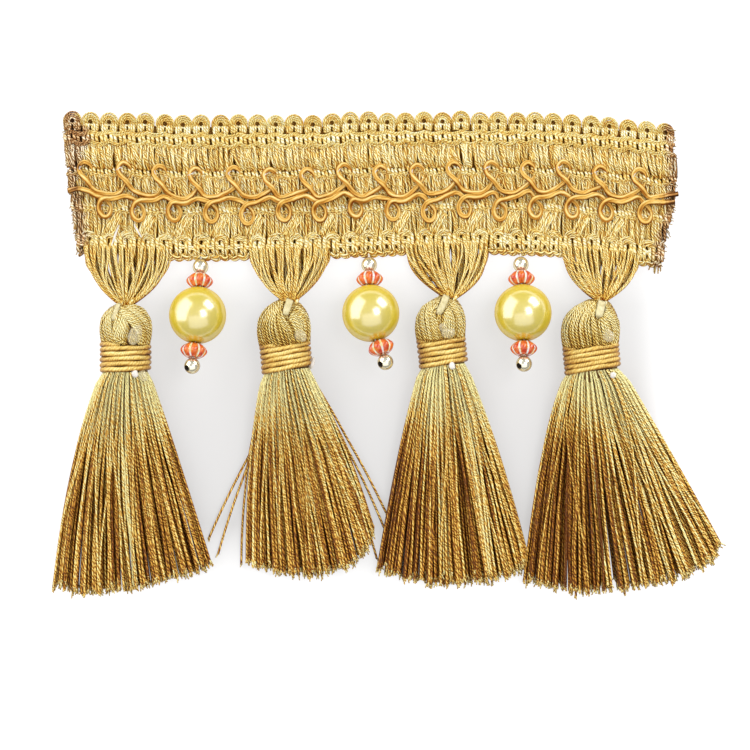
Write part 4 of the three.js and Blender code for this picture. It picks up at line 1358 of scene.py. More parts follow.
def lower_fans():
    """The heading's lowest threads: narrow fans, and a bundle beside each foot of the lower cord."""
    rng = np.random.default_rng(21)
    skein = Skein()
    fan_threads(skein, rng)
    foot_bundles(skein, rng)
    return skein


def leg_places():
    """Middles of the selvedge's columns, each of two threads."""
    first = FIRST_PICOT - LEG_PITCH / 2
    return [first + LEG_PITCH * i for i in range(int(SELVEDGE_LENGTH / LEG_PITCH) + 1)]


def selvedge_legs():
    """Pale columns of two thick threads at the hem, tied across at half their height."""
    rng = np.random.default_rng(23)
    skein = Skein()
    legs = leg_places()
    for i, leg in enumerate(legs):
        open_foot = under_tassel(leg, 0.5)
        foot = 28.0 if open_foot else 28.9
        for side in (-0.4, 0.4):
            t = np.linspace(0, 1, 7)
            x = leg + side + 0.1 * np.sin(3 * t + i) + rng.normal(0, 0.04)
            path = on_band(x, LEG_TOP + (foot - LEG_TOP) * t, -0.28 + 0.12 * np.sin(np.pi * t))
            skein.lay_stained(path, LEG_THREAD, 0.74 + rng.normal(0, 0.12))
        if open_foot:
            continue
        depth = 27.15 + 0.2 * (i % 2) + rng.normal(0, 0.08)
        for strand in (0, 1):
            x = leg + LEG_PITCH / 2 + np.array([-0.62, -0.25, 0.25, 0.62])
            down = depth + 0.42 * strand + np.array([-0.15, -0.1, 0.08, 0.2])
            path = smooth_path(on_band(x, down, np.array([-0.35, 0.0, 0.0, -0.35])), 0.3)
            skein.lay_stained(path, ARCH_THREAD, 0.78 + rng.normal(0, 0.1))
    return skein


def selvedge_arches():
    """A raised arch of four threads over every second slit of the selvedge."""
    rng = np.random.default_rng(29)
    skein = Skein()
    legs = leg_places()
    for a, b in zip(legs[::2], legs[1::2]):
        middle = (a + b) / 2 + rng.normal(0, 0.1)
        tall = rng.uniform(0.82, 1.08)
        for number, reach in enumerate(ARCH_REACHES):
            turn = np.linspace(-1, 1, 9) * np.pi / 2
            across = reach * np.sin(turn)
            down = 26.4 - tall * reach * np.cos(turn - rng.normal(0, 0.12)) + rng.normal(0, 0.04)
            across = np.concatenate([[-reach * 1.04], across, [reach * 1.04]])
            down = np.concatenate([[27.0], down, [27.0]])
            lift = 0.3 - 0.1 * number - 0.35 * np.abs(across / reach) ** 4
            path = on_band(middle + across, down, lift)
            skein.lay_stained(smooth_path(path, 0.34), ARCH_THREAD, 0.66 + rng.normal(0, 0.16))
    return skein


def hem_loops():
    """Thick slanted loops along the hem between the tassels, and pale stitches above them."""
    rng = np.random.default_rng(24)
    skein = Skein()
    t = np.linspace(0, 1, 8)
    for leg in leg_places():
        if under_tassel(leg, 0.3):
            continue
        for strand in (0, 1):
            x = leg - 1.15 + 2.3 * t + 0.25 * strand
            depth = 28.5 + 0.45 * strand + 1.1 * np.sin(np.pi * (0.12 + 0.8 * t)) + rng.normal(0, 0.05)
            high = -0.05 + 0.35 * np.sin(np.pi * t) - 0.25 * strand - 0.3 * t
            path = on_band(x, depth, high)
            path[:, 2] = np.maximum(path[:, 2], 0.4)
            skein.lay_stained(path, HEM_THREAD, 0.62 + rng.normal(0, 0.12))
        for side in (-0.35, 0.35):
            x = leg + side + np.array([-0.1, 0, 0.1])
            path = on_band(x, np.array([27.9, 28.5, 29.1]), np.array([-0.1, 0.15, 0.0]))
            skein.lay_stained(smooth_path(path, 0.3), 0.3, 0.85)
    return skein


def cut_ends(skein, rng):
    """Short frayed ends of yarn along both cuts."""
    for cut, way, x0, longest in ((LEFT_CUT, -1, -66.5, 0.55), (RIGHT_CUT, 1, 60.0, 0.8)):
        for down in np.arange(1.5, 29.5, 0.8):
            y = float(heading_y(x0, down)) + rng.normal(0, 0.2)
            edge = float(cut_x(cut, y))
            reach = rng.uniform(0.0, longest)
            t = np.linspace(0, 1, 5)
            x = edge + way * (-1.0 + (1.0 + reach) * t)
            bend = rng.normal(-0.5, 0.6)
            z = 1.6 + rng.uniform(-0.5, 0.4) - 0.6 * t**2
            path = np.column_stack([x, y + bend * t**1.5, z])
            skein.lay(path, FRINGE_THREAD * (1 - 0.55 * t), 0.6 + 0.3 * t, np.clip(0.85 - 0.4 * t, 0, 1))


def corner_ends(skein, rng):
    """A few longer ends that hang from the hem's right corner."""
    for _ in range(7):
        t = np.linspace(0, 1, 7)
        x = 57.2 + rng.normal(0, 0.5) + rng.normal(0, 0.5) * t
        y = 20.4 - (2.6 + rng.uniform(0, 1.1)) * t
        path = np.column_stack([x, y, 1.4 - 0.9 * t])
        skein.lay(path, 0.26 * (1 - 0.5 * t), 0.6, 0.55 - 0.3 * t)


def cut_fringe():
    """The loose ends of both cuts and of the hem's right corner."""
    rng = np.random.default_rng(25)
    skein = Skein()
    cut_ends(skein, rng)
    corner_ends(skein, rng)
    return skein


# Scroll cords
def upper_route():
    """The upper cord's way in plan, from cut end to cut end."""
    route = [(-63.4, 35.2)]
    for i, (x, y, swoop_x, swoop_y) in enumerate(UPPER_LOOPS):
        route += [(x + u, y + v) for u, v in UPPER_TURNS]
        route.append((swoop_x, swoop_y))
        if i < len(UPPER_LOOPS) - 1:
            route.append((swoop_x + 1.5, swoop_y + 0.5))
    return [*route, (61.3, 33.5)]


def lower_route():
    """The lower cord's way in plan, with a point more where the next loop is far off."""
    route = [(-67.2, 34.1), (-64.8, 34.6), (-62.7, 34.4), (-61.0, 33.6)]
    for i, (x, y, crest_x, crest_y) in enumerate(LOWER_LOOPS):
        route += [(x + u, y + v) for u, v in LOWER_TURNS]
        route.append((crest_x, crest_y))
        if i < len(LOWER_LOOPS) - 1:
            after = LOWER_LOOPS[i + 1]
            cross = (after[0] + LOWER_TURNS[0][0], after[1] + LOWER_TURNS[0][1])
            if after[0] - crest_x > 2.5:
                route.append((crest_x + (cross[0] - crest_x) * 0.5, crest_y + (cross[1] - crest_y) * 0.35))
    return [*route, (60.6, 31.8)]


def laid_cord(plan, radius, before):
    """A cord that rests on the work and rises where it crosses itself or one laid before."""
    need = relief(plan[:, 0], down_at(plan[:, 0], plan[:, 1])) - 0.1 + radius * 0.8
    step = float(np.mean(np.linalg.norm(np.diff(plan, axis=0), axis=1)))
    apart = int(3.0 / step)
    height = need.copy()
    for i in range(len(plan)):
        past = max(0, i - apart)
        itself = np.column_stack([plan[:past], height[:past]])
        for other, thick in [*before, (itself, radius)]:
            if len(other) == 0:
                continue
            gap = np.hypot(other[:, 0] - plan[i, 0], other[:, 1] - plan[i, 1])
            reach = thick + radius
            near = gap < reach
            if near.any():
                over = other[near, 2] + np.sqrt(reach**2 - gap[near] ** 2)
                height[i] = max(height[i], over.max())
    floor = height.copy()
    for _ in range(14):
        mean = (np.roll(height, 1) + np.roll(height, -1)) / 2
        mean[0], mean[-1] = height[0], height[-1]
        height = np.maximum(floor, mean)
    return np.column_stack([plan, height])


def scroll_cords():
    """Paths of the two cords. The lower one keeps beside the upper one in plan."""
    upper = laid_cord(smooth_path(upper_route(), 0.3), UPPER_CORD, [])
    plan = smooth_path(lower_route(), 0.32)
    lane = UPPER_CORD + LOWER_CORD - 0.12
    for _ in range(40):
        aside = plan[:, None] - upper[None, :, :2]
        gap = np.hypot(aside[..., 0], aside[..., 1]).min(axis=1)
        plan[gap < lane, 1] -= 0.05
    plan = np.column_stack([plan[:, 0], even_out(plan[:, 1], 5)])
    lower = laid_cord(plan, LOWER_CORD, [(upper, UPPER_CORD)])
    return upper, lower


def cord_skein(path, radius, sinking):
    """The cord's strand. One leg of each loop is thinner, sinks into the work and is painted darker as shade.
    """
    skein = Skein()
    step = np.gradient(path[:, :2], axis=0)
    leg = even_out(smoothstep(sinking * step[:, 1] / np.linalg.norm(step, axis=1), 0.72, 0.96), 7)
    count = np.arange(len(path))
    wave = 0.04 * np.sin(count * 0.7) + 0.03 * np.sin(count * 1.9)
    thin = 0.5 if sinking > 0 else 0.27
    sunk = path - np.column_stack([0 * leg, 0 * leg, 1.2 * thin * leg])
    stain = stain_of(path)
    # Painted shade: the sunk leg of each loop is darker
    tone = 0.44 - 0.1 * leg + 0.1 * np.sin(count * 0.23) + 0.06 * np.sin(count * 0.61) - 0.2 * stain
    skein.lay(sunk, radius * (1 + wave - thin * leg), tone, 0.9 * stain)
    return skein


def glue_streaks():
    """Two white streaks of glue at the left end of the selvedge."""
    skein = Skein()
    for route in GLUE_STREAKS:
        path = smooth_path([(x, y, relief(x, down_at(x, y)) + 0.1) for x, y in route], 0.35)
        along = np.linspace(0, 1, len(path))
        skein.lay(path, 0.12 + 0.16 * np.sin(np.pi * along), 0.5)
    return skein


def nylon_stitches():
    """Fine clear thread that holds the loops of the scroll cords down."""
    rng = np.random.default_rng(27)
    skein = Skein()
    places = [(x - 1.0, y - 1.3) for x, y, _, _ in UPPER_LOOPS]
    places += [(x - 1.1, y + 2.4) for x, y, _, _ in LOWER_LOOPS]
    t = np.linspace(-1, 1, 7)
    for x, y in places:
        for _ in range(2):
            angle = rng.uniform(0.3, 2.2)
            high = float(relief(x, down_at(x, y))) + 0.55
            over_x = x + 0.75 * math.cos(angle) * t
            over_y = y + 0.75 * math.sin(angle) * t
            skein.lay(np.column_stack([over_x, over_y, high + 0.35 * (1 - t**2)]), NYLON_THREAD, 0.5)
    return skein


# Tassels
def on_tassel(tassel, across, along):
    """The plan of a place across a tassel and along it from the middle of its wrap."""
    lean = math.radians(tassel["lean"])
    x = tassel["x"] + across * math.cos(lean) + along * math.sin(lean)
    y = tassel["y"] + across * math.sin(lean) - along * math.cos(lean)
    return x, y


def wrap_top(tassel):
    """Where along a tassel its wrap starts and its head ends."""
    return -tassel["wrap_length"] / 2


def neck_place(tassel):
    """Where along a tassel its neck is."""
    return wrap_top(tassel) - tassel["head_length"]


def head_point(tassel, side, share, lift=0.0):
    """A place on a head: side is the angle round from its front, share the way from neck to foot."""
    side = np.asarray(side, float)
    share = np.asarray(share, float)
    fine = np.linspace(0, 1, 60)
    wide = np.interp(share, fine, even_out(np.interp(fine, HEAD_ALONG, HEAD_WIDE), 7))
    shift = np.interp(share, fine, even_out(np.interp(fine, HEAD_ALONG, HEAD_SHIFT), 7))
    across = shift * tassel["neck_shift"] + (wide * tassel["head_half"] - 0.35 + lift) * np.sin(side)
    high = HEAD_AXIS + (wide * HEAD_THICK - 0.35 + lift) * np.cos(side)
    along = wrap_top(tassel) - (1 - share) * tassel["head_length"]
    x, y = on_tassel(tassel, across, along)
    return np.column_stack([x, y, np.maximum(high, 0.3)])


def head_core(tassel, finishes):
    """The bundle inside the head, the wrap and the top of the skirt, painted dark as the shade in the gaps
    between the threads over it.
    """
    rings = 16
    around = 24
    side = np.linspace(0, 2 * np.pi, around, endpoint=False)
    points = []
    for ring in range(rings + 1):
        share = ring / rings * 1.12 + 0.02
        if share <= 1:
            points.append(head_point(tassel, side, np.full(around, share), -0.28))
    foot = -wrap_top(tassel)
    half = tassel["wrap_half"]
    below = ((0.1 - foot, half - 0.8, 3.7), (foot, half - 0.8, 3.7), (foot + 4, half * 0.7, 2.4))
    for along, wide, thick in (*below, (foot + 8, half * 0.35, 1.0)):
        x, y = on_tassel(tassel, wide * np.sin(side), np.full(around, along))
        points.append(np.column_stack([x, y, HEAD_AXIS - 0.12 * max(0, along) + thick * np.cos(side)]))
    faces = tube_faces(len(points), around)
    return solid(tassel["name"] + "_core", np.vstack(points), faces, finishes["core"])


def over_head(tassel, plan, lift):
    """A path laid over the front of a head, from its places in plan."""
    lean = math.radians(tassel["lean"])
    x = plan[:, 0] - tassel["x"]
    y = plan[:, 1] - tassel["y"]
    across = x * math.cos(lean) + y * math.sin(lean)
    along = x * math.sin(lean) - y * math.cos(lean)
    share = np.clip(1 + (along - wrap_top(tassel)) / tassel["head_length"], 0.02, 1.05)
    wide = np.interp(share, HEAD_ALONG, HEAD_WIDE)
    shift = np.interp(share, HEAD_ALONG, HEAD_SHIFT) * tassel["neck_shift"]
    side = np.clip((across - shift) / (wide * tassel["head_half"] - 0.3), -0.97, 0.97)
    across = shift + side * (wide * tassel["head_half"] - 0.3 + 0.5 * lift)
    up = np.sqrt(1 - side**2)
    x, y = on_tassel(tassel, across, along)
    return np.column_stack([x, y, HEAD_AXIS + (wide * HEAD_THICK - 0.3 + lift) * up])


def lock_guides(lock):
    """A lock's lines with the same number of points on each."""
    guides = []
    for line in lock:
        line = smooth_path(line, 0.4)
        step = np.linalg.norm(np.diff(line, axis=0), axis=1).sum() / (GUIDE_POINTS - 1.0)
        guides.append(evenly(line, step)[:GUIDE_POINTS])
    return np.array([np.pad(g, ((0, GUIDE_POINTS - len(g)), (0, 0)), mode="edge") for g in guides])


def front_threads(skein, tassel, locks, rng):
    """The locks of a head's front, in two layers."""
    for number, lock in enumerate(locks):
        guides = lock_guides(lock)
        count = int(round(2.8 * (len(guides) - 1)))
        for layer in (0, 1):
            for i in range(count):
                place = (i + 0.5 * (1 + layer)) / count * (len(guides) - 1) + rng.normal(0, 0.05)
                k = int(np.clip(place, 0, len(guides) - 2))
                plan = guides[k] + (guides[k + 1] - guides[k]) * (place - k)
                t = np.linspace(0, 1, len(plan))
                plan = plan + rng.normal(0, 0.07, 2) * np.sin(np.pi * t + rng.uniform(-1, 1))[:, None]
                lift = 0.2 * number + rng.normal(0, 0.07) - 0.42 * layer + 0.12 * np.sin(np.pi * t)
                # Painted shade: darker at the head's foot by the wrap, at its neck, and in the lower layer
                head_painted_shade = 0.42 * smoothstep(t, 0.45, 1) + 0.12 * (1 - smoothstep(t, 0, 0.2))
                shade = 0.74 - 0.45 * layer + rng.normal(0, 0.19) - head_painted_shade
                shade = shade + 0.1 * np.sin(7 * t + rng.uniform(0, 6)) + tassel["head_shade"]
                skein.lay(over_head(tassel, plan, lift), HEAD_THREAD + rng.normal(0, 0.015), shade)


def back_threads(skein, tassel, rng):
    """Threads all round a head, sunk a little where the front's locks lie over them."""
    share = np.linspace(0.02, 1.03, 9)
    for i in range(HEAD_UNDER):
        side = 2 * math.pi * (i + 0.5) / HEAD_UNDER + rng.normal(0, 0.02)
        twist = 0.15 * np.sin(np.pi * share)
        sunk = -0.32 * smoothstep(math.cos(side), -0.1, 0.1)
        # Painted shade: these threads under the front's locks are darker
        shade = 0.45 + rng.normal(0, 0.12) + tassel["head_shade"]
        skein.lay(head_point(tassel, side + twist, share, sunk), 0.3 - 0.12 * (1 - share) ** 3, shade)


def head_threads(tassel, locks):
    """Threads over the head: the locks of its front, and those all round it."""
    rng = np.random.default_rng(tassel["seed"])
    skein = Skein()
    front_threads(skein, tassel, locks, rng)
    back_threads(skein, tassel, rng)
    return skein


def wrap_cord(tassel):
    """One cord wound round and round, its start tucked under the next turn and its end at the back."""
    rng = np.random.default_rng(tassel["seed"] + 20)
    skein = Skein()
    first, pitch, side, tilt = tassel["wrap"]
    start = math.asin(side)
    whole = start + 2 * WRAP_TURNS * math.pi
    count = int(whole / 0.16)
    gone = np.linspace(0, whole, count)
    angle = start - gone
    turns = (-0.5 * math.pi - angle) / (2 * math.pi)
    along = first + pitch * turns - tilt * (1 + np.sin(angle))
    along = along + 0.06 * np.sin(2.7 * angle + tassel["seed"]) + 0.035 * np.sin(6.3 * angle)
    along = along + 0.35 * pitch * (1 - smoothstep(gone, 0, 0.7))
    out = -0.05 - 0.6 * (1 - smoothstep(gone, 0, 0.6)) - 0.5 * smoothstep(gone, whole - 0.5, whole)
    out = out + np.convolve(rng.normal(0, 0.05, count + 4), np.ones(5) / 5, "valid")
    half = tassel["wrap_half"] - WRAP_CORD + out
    thick = WRAP_THICK - WRAP_CORD + out
    x, y = on_tassel(tassel, half * np.sin(angle), along)
    path = np.column_stack([x, y, np.maximum(HEAD_AXIS + thick * np.cos(angle), WRAP_CORD * 0.9)])
    shade = tassel["wrap_shade"] + 0.1 * np.sin(angle * 2.3)
    skein.lay(path, 1.2 * WRAP_CORD * (1 + 0.04 * np.sin(angle * 7)), shade)
    return skein


def tie_tape(tassel, finishes):
    """The flat tape that ties the hanger threads down into the pit of the head."""
    start, end, wide = tassel["tie"]
    steps = 14
    t = np.linspace(0, 1, steps + 1)
    plan = np.array(start) + (np.array(end) - np.array(start)) * t[:, None]
    route = over_head(tassel, plan, 0.62)
    route[:, 2] = np.maximum(route[:, 2], HEAD_AXIS + 2.7) - 0.5 * (1 - smoothstep(t, 0, 0.2))
    route[:, 2] -= 1.5 * smoothstep(t, 0.72, 1) ** 2
    half = wide * (1 - 0.3 * smoothstep(t, 0.6, 1))
    way = np.gradient(route[:, :2], axis=0)
    way /= np.linalg.norm(way, axis=1)[:, None]
    side = np.column_stack([-way[:, 1], way[:, 0], np.zeros(steps + 1)])
    points = []
    for i in range(steps + 1):
        for u, w in TAPE_RING:
            points.append(route[i] + side[i] * u * half[i] + np.array([0, 0, w]))
    name = tassel["name"].replace("tassel", "tassel_tie") + "_tape"
    return solid(name, points, tube_faces(steps + 1, len(TAPE_RING)), finishes["tie"])


def neck_ring(tassel):
    """The tape's way round the pinch, and the end that shows at its right."""
    skein = Skein()
    angle = np.linspace(0.5 * np.pi, 1.9 * np.pi, 20)
    for turn in (-0.1, 0.35):
        across = tassel["neck_shift"] + 1.35 * np.sin(angle)
        x, y = on_tassel(tassel, across, neck_place(tassel) + turn)
        skein.lay(np.column_stack([x, y, HEAD_AXIS + 0.3 + 1.5 * np.cos(angle)]), 0.26, 0.6)
    start, end = np.array(tassel["strand"])
    t = np.linspace(0, 1, 7)[:, None]
    plan = start + (end - start) * t
    high = HEAD_AXIS + 0.6 + 0.9 * np.sin(np.pi * t)
    skein.lay(np.hstack([plan, high]), 0.34, 0.75)
    return skein


def hanger_threads(tassel):
    """Threads that leave the legs of the selvedge in bunches and gather at the neck."""
    rng = np.random.default_rng(tassel["seed"] + 40)
    skein = Skein()
    left, right = tassel["hanger"]
    x, y = on_tassel(tassel, tassel["neck_shift"], neck_place(tassel))
    middle = (left + right) / 2
    half = (right - left) / 2
    leg = leg_places()[0]
    t = np.linspace(0, 1, 17)
    width = 0.13 + 0.87 * (1 - t**2.4)
    for layer, apart in enumerate(HANGER_PITCHES):
        for root in np.arange(left - 0.1 + 0.2 * layer, right + 0.1, apart):
            root = root - 0.13 * math.sin(2 * math.pi * (root - leg) / LEG_PITCH) + rng.normal(0, 0.04)
            share = np.clip((root - middle) / half, -1.0, 1.0)
            hem = float(heading_y(root, 27.0 + 0.4 * layer)) + rng.normal(0, 0.15)
            end = np.clip(share * 0.95 + rng.normal(0, 0.12), -1, 1)
            lane = share + (end - share) * smoothstep(t, 0.15, 0.8)
            bow = rng.normal(0, 0.26) * np.sin(np.pi * t) + rng.normal(0, 0.12) * np.sin(2 * np.pi * t)
            path_x = middle + (x - middle) * smoothstep(t, -0.05, 1.0) + lane * half * width + bow * width
            path_y = hem + (y - 0.5 - hem) * t
            start_z = float(relief(root, 27.0)) - 0.25 - 0.35 * layer
            top = start_z + (HEAD_AXIS + 1.3 - 1.3 * layer - start_z) * smoothstep(t, 0.1, 1.0)
            dome = 1.1 * (1 - share**2) * np.sin(np.pi * t) * (1 - 0.7 * layer)
            z = np.maximum(top + dome + rng.normal(0, 0.2) * np.sin(np.pi * t), 0.4)
            # Painted shade: darker towards the neck and in the lower layers
            shade = 0.68 - 0.2 * layer + rng.normal(0, 0.17) - 0.5 * smoothstep(t, 0.72, 1)
            shade = shade + 0.07 * np.sin(9 * t + rng.uniform(0, 6))
            skein.lay(np.column_stack([path_x, path_y, z]), HANGER_THREAD - 0.04 * t, shade)
    for out in (0.2, -0.4, 0.6):
        outer_thread(skein, right - 0.5 if out > 0 else left + 0.5, x, y, out)
    return skein


def outer_thread(skein, edge, x, y, out):
    """A thread that bows out beside the others on its way from a hanger's edge to the neck."""
    t = np.linspace(0, 1, 17)
    hem = float(heading_y(edge, 27.6))
    bow = out * np.sin(np.pi * t) ** 1.5
    path_x = edge + (x - edge) * smoothstep(t, 0.25, 1.05) + bow - 0.2 * np.sign(out)
    z = 1.2 + (HEAD_AXIS - 1.2) * smoothstep(t, 0.2, 1.0)
    path = np.column_stack([path_x, hem + (y - 0.3 - hem) * t, z])
    # Painted shade: darker towards the neck
    skein.lay(path, HANGER_THREAD, 0.55 - 0.3 * smoothstep(t, 0.6, 1))


def skirt_place(tassel, share, t):
    """The plan of a skirt thread, between the skirt's two edges and down to the line of cut ends."""
    left = bezier(tassel["left"], t)
    right = bezier(tassel["right"], t)
    hem = np.array(tassel["hem"], float)
    lengths = np.concatenate([[0], np.cumsum(np.linalg.norm(np.diff(hem, axis=0), axis=1))])
    at = share[-1] * lengths[-1]
    end = np.array([np.interp(at, lengths, hem[:, 0]), np.interp(at, lengths, hem[:, 1])])
    straight = left[-1] + (right[-1] - left[-1]) * share[-1]
    return left + (right - left) * share[:, None] + (end - straight) * (t**1.6)[:, None]


def skirt_strand(skein, tassel, share, lane, high, radius, shade, t, rng):
    """One thread of the skirt, from under the wrap to its frayed end on the table."""
    high = high + 0 * t
    lane = np.clip(lane, 0.003, 0.997)
    points = skirt_place(tassel, lane, t)
    points = points[0] + (points - points[0]) * (0.985 + rng.normal(0, 0.012))
    edge = np.sqrt(np.clip(1 - (2 * lane - 1) ** 2, 0.03, 1))
    top = np.interp(t, SKIRT_TOP_SHARE, SKIRT_TOP)
    low = np.interp(t, SKIRT_TOP_SHARE, SKIRT_FOOT)
    middle = HEAD_AXIS + (0.5 * (top + low) - HEAD_AXIS) * smoothstep(t, 0, 0.3)
    round_high = middle + 0.5 * (top - low) * (2 * high - 1) * edge
    lying = low + (top - low) * high * (0.35 + 0.65 * edge)
    z = round_high + (lying - round_high) * smoothstep(t, 0.0, 0.45)
    z = np.maximum(z + rng.normal(0, 0.15) * np.sin(np.pi * t), 0.3)
    foot = -wrap_top(tassel) - 0.4
    x, y = on_tassel(tassel, (tassel["wrap_half"] - 0.9) * (2 * share - 1), foot)
    start = np.array([[x, y, HEAD_AXIS + 3.7 * (2 * high[0] - 1) * edge[0]]])
    path = np.vstack([start, np.column_stack([points, z])[1:]])
    # Painted shade: one side of the skirt is darker than the other, away from the wrap
    side_painted_shade, shift = tassel["skirt_painted_shade"]
    open_part = smoothstep(t, 0.02, 0.45)
    skein.lay(path, radius * (0.85 + 0.15 * t), shade + (side_painted_shade * (1 - 2 * share) + shift) * open_part)
    fray(skein, path, radius, rng)


def skirt(tassel):
    """The skirt: threads inside, painted darker as shade the lower they lie, paler ones that come out over
    them, and a few that stray across. All are painted lighter near the wrap.
    """
    rng = np.random.default_rng(tassel["seed"] + 60)
    skein = Skein()
    locks = np.sort(rng.uniform(0.0, 1.0, SKIRT_LOCKS))
    t = np.linspace(0, 1, 17)
    wrap_painted_light = 1 - smoothstep(t, 0.02, 0.55)
    tip = smoothstep(t, 0.93, 1.0)
    for number in range(SKIRT_UNDER):
        high = 0.06
        share = (number + 0.5) / SKIRT_LOWEST
        if number >= SKIRT_LOWEST:
            high = ((number * GOLDEN) % 1.0) ** 0.8 * 0.88
            share = ((number + 0.5) * 7.0 / SKIRT_UNDER) % 1.0
        share = share + rng.normal(0, 0.004)
        lane = share + rng.normal(0, 0.02 * high + 0.003) * t
        # Painted shade and light: lower threads are darker and all threads are lighter near the wrap; paler
        # at the frayed tips
        shade = 0.34 * high + rng.normal(0, 0.1) + 1.35 * wrap_painted_light + 0.5 * tip
        skirt_strand(skein, tassel, share, lane, high, 0.265, shade, t, rng)
    for number in range(SKIRT_UPPER):
        share = np.clip((number + 0.5 + rng.normal(0, 0.3)) / SKIRT_UPPER, 0.003, 0.997)
        lock = locks[int(np.argmin(np.abs(locks - share)))]
        pull = 0.4 * smoothstep(t, 0.2, 0.8)
        wave = rng.normal(0, 0.006) * np.sin(2 * np.pi * t) + rng.normal(0, 0.003) * np.sin(5 * np.pi * t)
        lane = share + (lock - share) * pull + rng.normal(0, 0.018) * t + wave
        sink = (0.0, 0.1, 0.2)[number % 3] * (1 - smoothstep(t, 0.1, 0.6))
        # Painted light near the wrap and painted shade where a thread sinks lower; darker towards the cut
        # ends, paler at the frayed tips
        shade = 0.68 + rng.normal(0, 0.34) * (1 - 0.8 * wrap_painted_light) + wrap_painted_light
        shade = shade - 0.24 * smoothstep(t, 0.4, 0.85) + 0.35 * tip
        shade = shade + 0.14 * np.sin(rng.uniform(4, 12) * t + rng.uniform(0, 6)) - 1.2 * sink
        high = 1.0 - abs(rng.normal(0, 0.04)) - sink
        skirt_strand(skein, tassel, share, lane, high, 0.29, shade, t, rng)
    for _ in range(SKIRT_STRAYS):
        share = rng.uniform(0.08, 0.92)
        lane = share + rng.choice([-1, 1]) * rng.uniform(0.06, 0.2) * smoothstep(t, 0.1, 1)
        skirt_strand(skein, tassel, share, lane, 1.07, 0.25, 0.8 + rng.normal(0, 0.08), t, rng)
    return skein


def fray(skein, path, radius, rng):
    """The open fibres at a cut end."""
    way = path[-1] - path[-2]
    way = way / np.linalg.norm(way)
    for _ in range(3):
        spread = rng.normal(0, 0.42, 3)
        spread[2] *= 0.4
        end = path[-1] + (way + spread) * rng.uniform(0.25, 0.65)
        end[2] = max(end[2], 0.15)
        start = path[-1] - way * 0.4 + rng.normal(0, 0.08, 3)
        start[2] = max(start[2], 0.25)
        skein.lay(np.vstack([start, (start + end) / 2, end]), [radius * 0.7, radius * 0.6, 0.12], 0.95)


def loose_strands():
    """The strands of the second tassel that lie apart on the table."""
    rng = np.random.default_rng(81)
    skein = Skein()
    tassel = TASSELS[1]
    for number, (leaves, ends) in enumerate(np.array(LOOSE_STRANDS)):
        side = -1 if number < 3 else 1
        top = on_tassel(tassel, side * (tassel["wrap_half"] - 1.4), -wrap_top(tassel) - 0.3)
        hidden = bezier([top, leaves + 0.35 * (leaves - ends), leaves], np.linspace(0, 1, 9))
        t = np.linspace(0.1, 1, 12)[:, None]
        bow = 0.25 * np.sin(np.pi * t) * np.array([side, 0])
        line = np.vstack([hidden, leaves + (ends - leaves) * t + bow])
        high = np.concatenate([np.linspace(HEAD_AXIS - 0.5, 1.5, 9), np.linspace(1.3, 0.32, 12)])
        path = np.column_stack([line, high])
        skein.lay(path, LOOSE_THREAD, 0.35)
        fray(skein, path, LOOSE_THREAD, rng)
    return skein


def blob(name, centre, size, finish, turn, seed):
    """A small uneven drop of glue."""
    rng = np.random.default_rng(seed)
    rows, around = 8, 14
    points = [(0, 0, 1.0)]
    for row in range(1, rows):
        polar = math.pi * row / rows
        for i in range(around):
            angle = 2 * math.pi * i / around
            out = math.sin(polar)
            points.append((out * math.cos(angle), out * math.sin(angle), math.cos(polar)))
    points = np.array([*points, (0, 0, -1.0)])
    waves = rng.normal(0, 0.09, (3, 3))
    swell = 1 + sum(w @ points.T * np.sin(3 * points[:, i] + i) for i, w in enumerate(waves))
    x, y, z = (points * swell[:, None] * np.array(size)).T
    c, s = math.cos(turn), math.sin(turn)
    turned = np.column_stack([c * x - s * y, s * x + c * y, z])
    faces = [(0, 1 + i, 1 + (i + 1) % around) for i in range(around)]
    for row in range(rows - 2):
        for i in range(around):
            a = 1 + row * around + i
            b = 1 + row * around + (i + 1) % around
            faces.append((a, a + around, b + around, b))
    last = len(points) - 1
    first = 1 + (rows - 2) * around
    faces += [(last, first + (i + 1) % around, first + i) for i in range(around)]
    return solid(name, turned + np.array(centre), faces, finish)


# Bead drops
def turned_bead(profile, sides, axis, centre, squeeze=None):
    """Points and faces of a bead turned about an axis, from a closed profile of radius and height."""
    profile = np.asarray(profile, float)
    angle = np.linspace(0, 2 * np.pi, sides, endpoint=False)
    local = []
    for a in angle:
        scale = np.ones(len(profile)) if squeeze is None else squeeze(a, profile)
        out = profile[:, 0] * scale
        local.append(np.column_stack([out * math.cos(a), out * math.sin(a), profile[:, 1]]))
    local = np.vstack(local)
    turn = Vector((0, 0, 1)).rotation_difference(Vector(axis)).to_matrix()
    points = local @ np.array(turn).T + np.asarray(centre)
    count = len(profile)
    faces = []
    for i in range(sides):
        for k in range(count):
            a = i * count + k
            b = i * count + (k + 1) % count
            c = ((i + 1) % sides) * count + k
            d = ((i + 1) % sides) * count + (k + 1) % count
            faces.append((a, c, d, b))
    return points, faces


def round_profile(radius, rows):
    """A ball with a straight bore."""
    mouth = math.asin(BORE / radius)
    angle = np.linspace(mouth, math.pi - mouth, rows)
    return [(radius * math.sin(a), radius * math.cos(a)) for a in angle]


def rondelle_profile():
    """A flat bead with a round rim and dished ends."""
    across = np.linspace(-1, 1, 17)
    out = 1.45 + 1.4 * (1 - np.abs(across) ** 1.8) ** 0.85
    ring = [(BORE, -0.72 * RONDELLE_HALF), (1.2, -0.9 * RONDELLE_HALF)]
    ring += [(o, a * RONDELLE_HALF) for o, a in zip(out, across)]
    return [*ring, (1.2, 0.9 * RONDELLE_HALF), (BORE, 0.72 * RONDELLE_HALF)]


def lobe_swell(angle):
    """1 on the back of a lobe and 0 in the flute between two."""
    return abs(math.cos(RONDELLE_LOBES * angle / 2)) ** 0.8


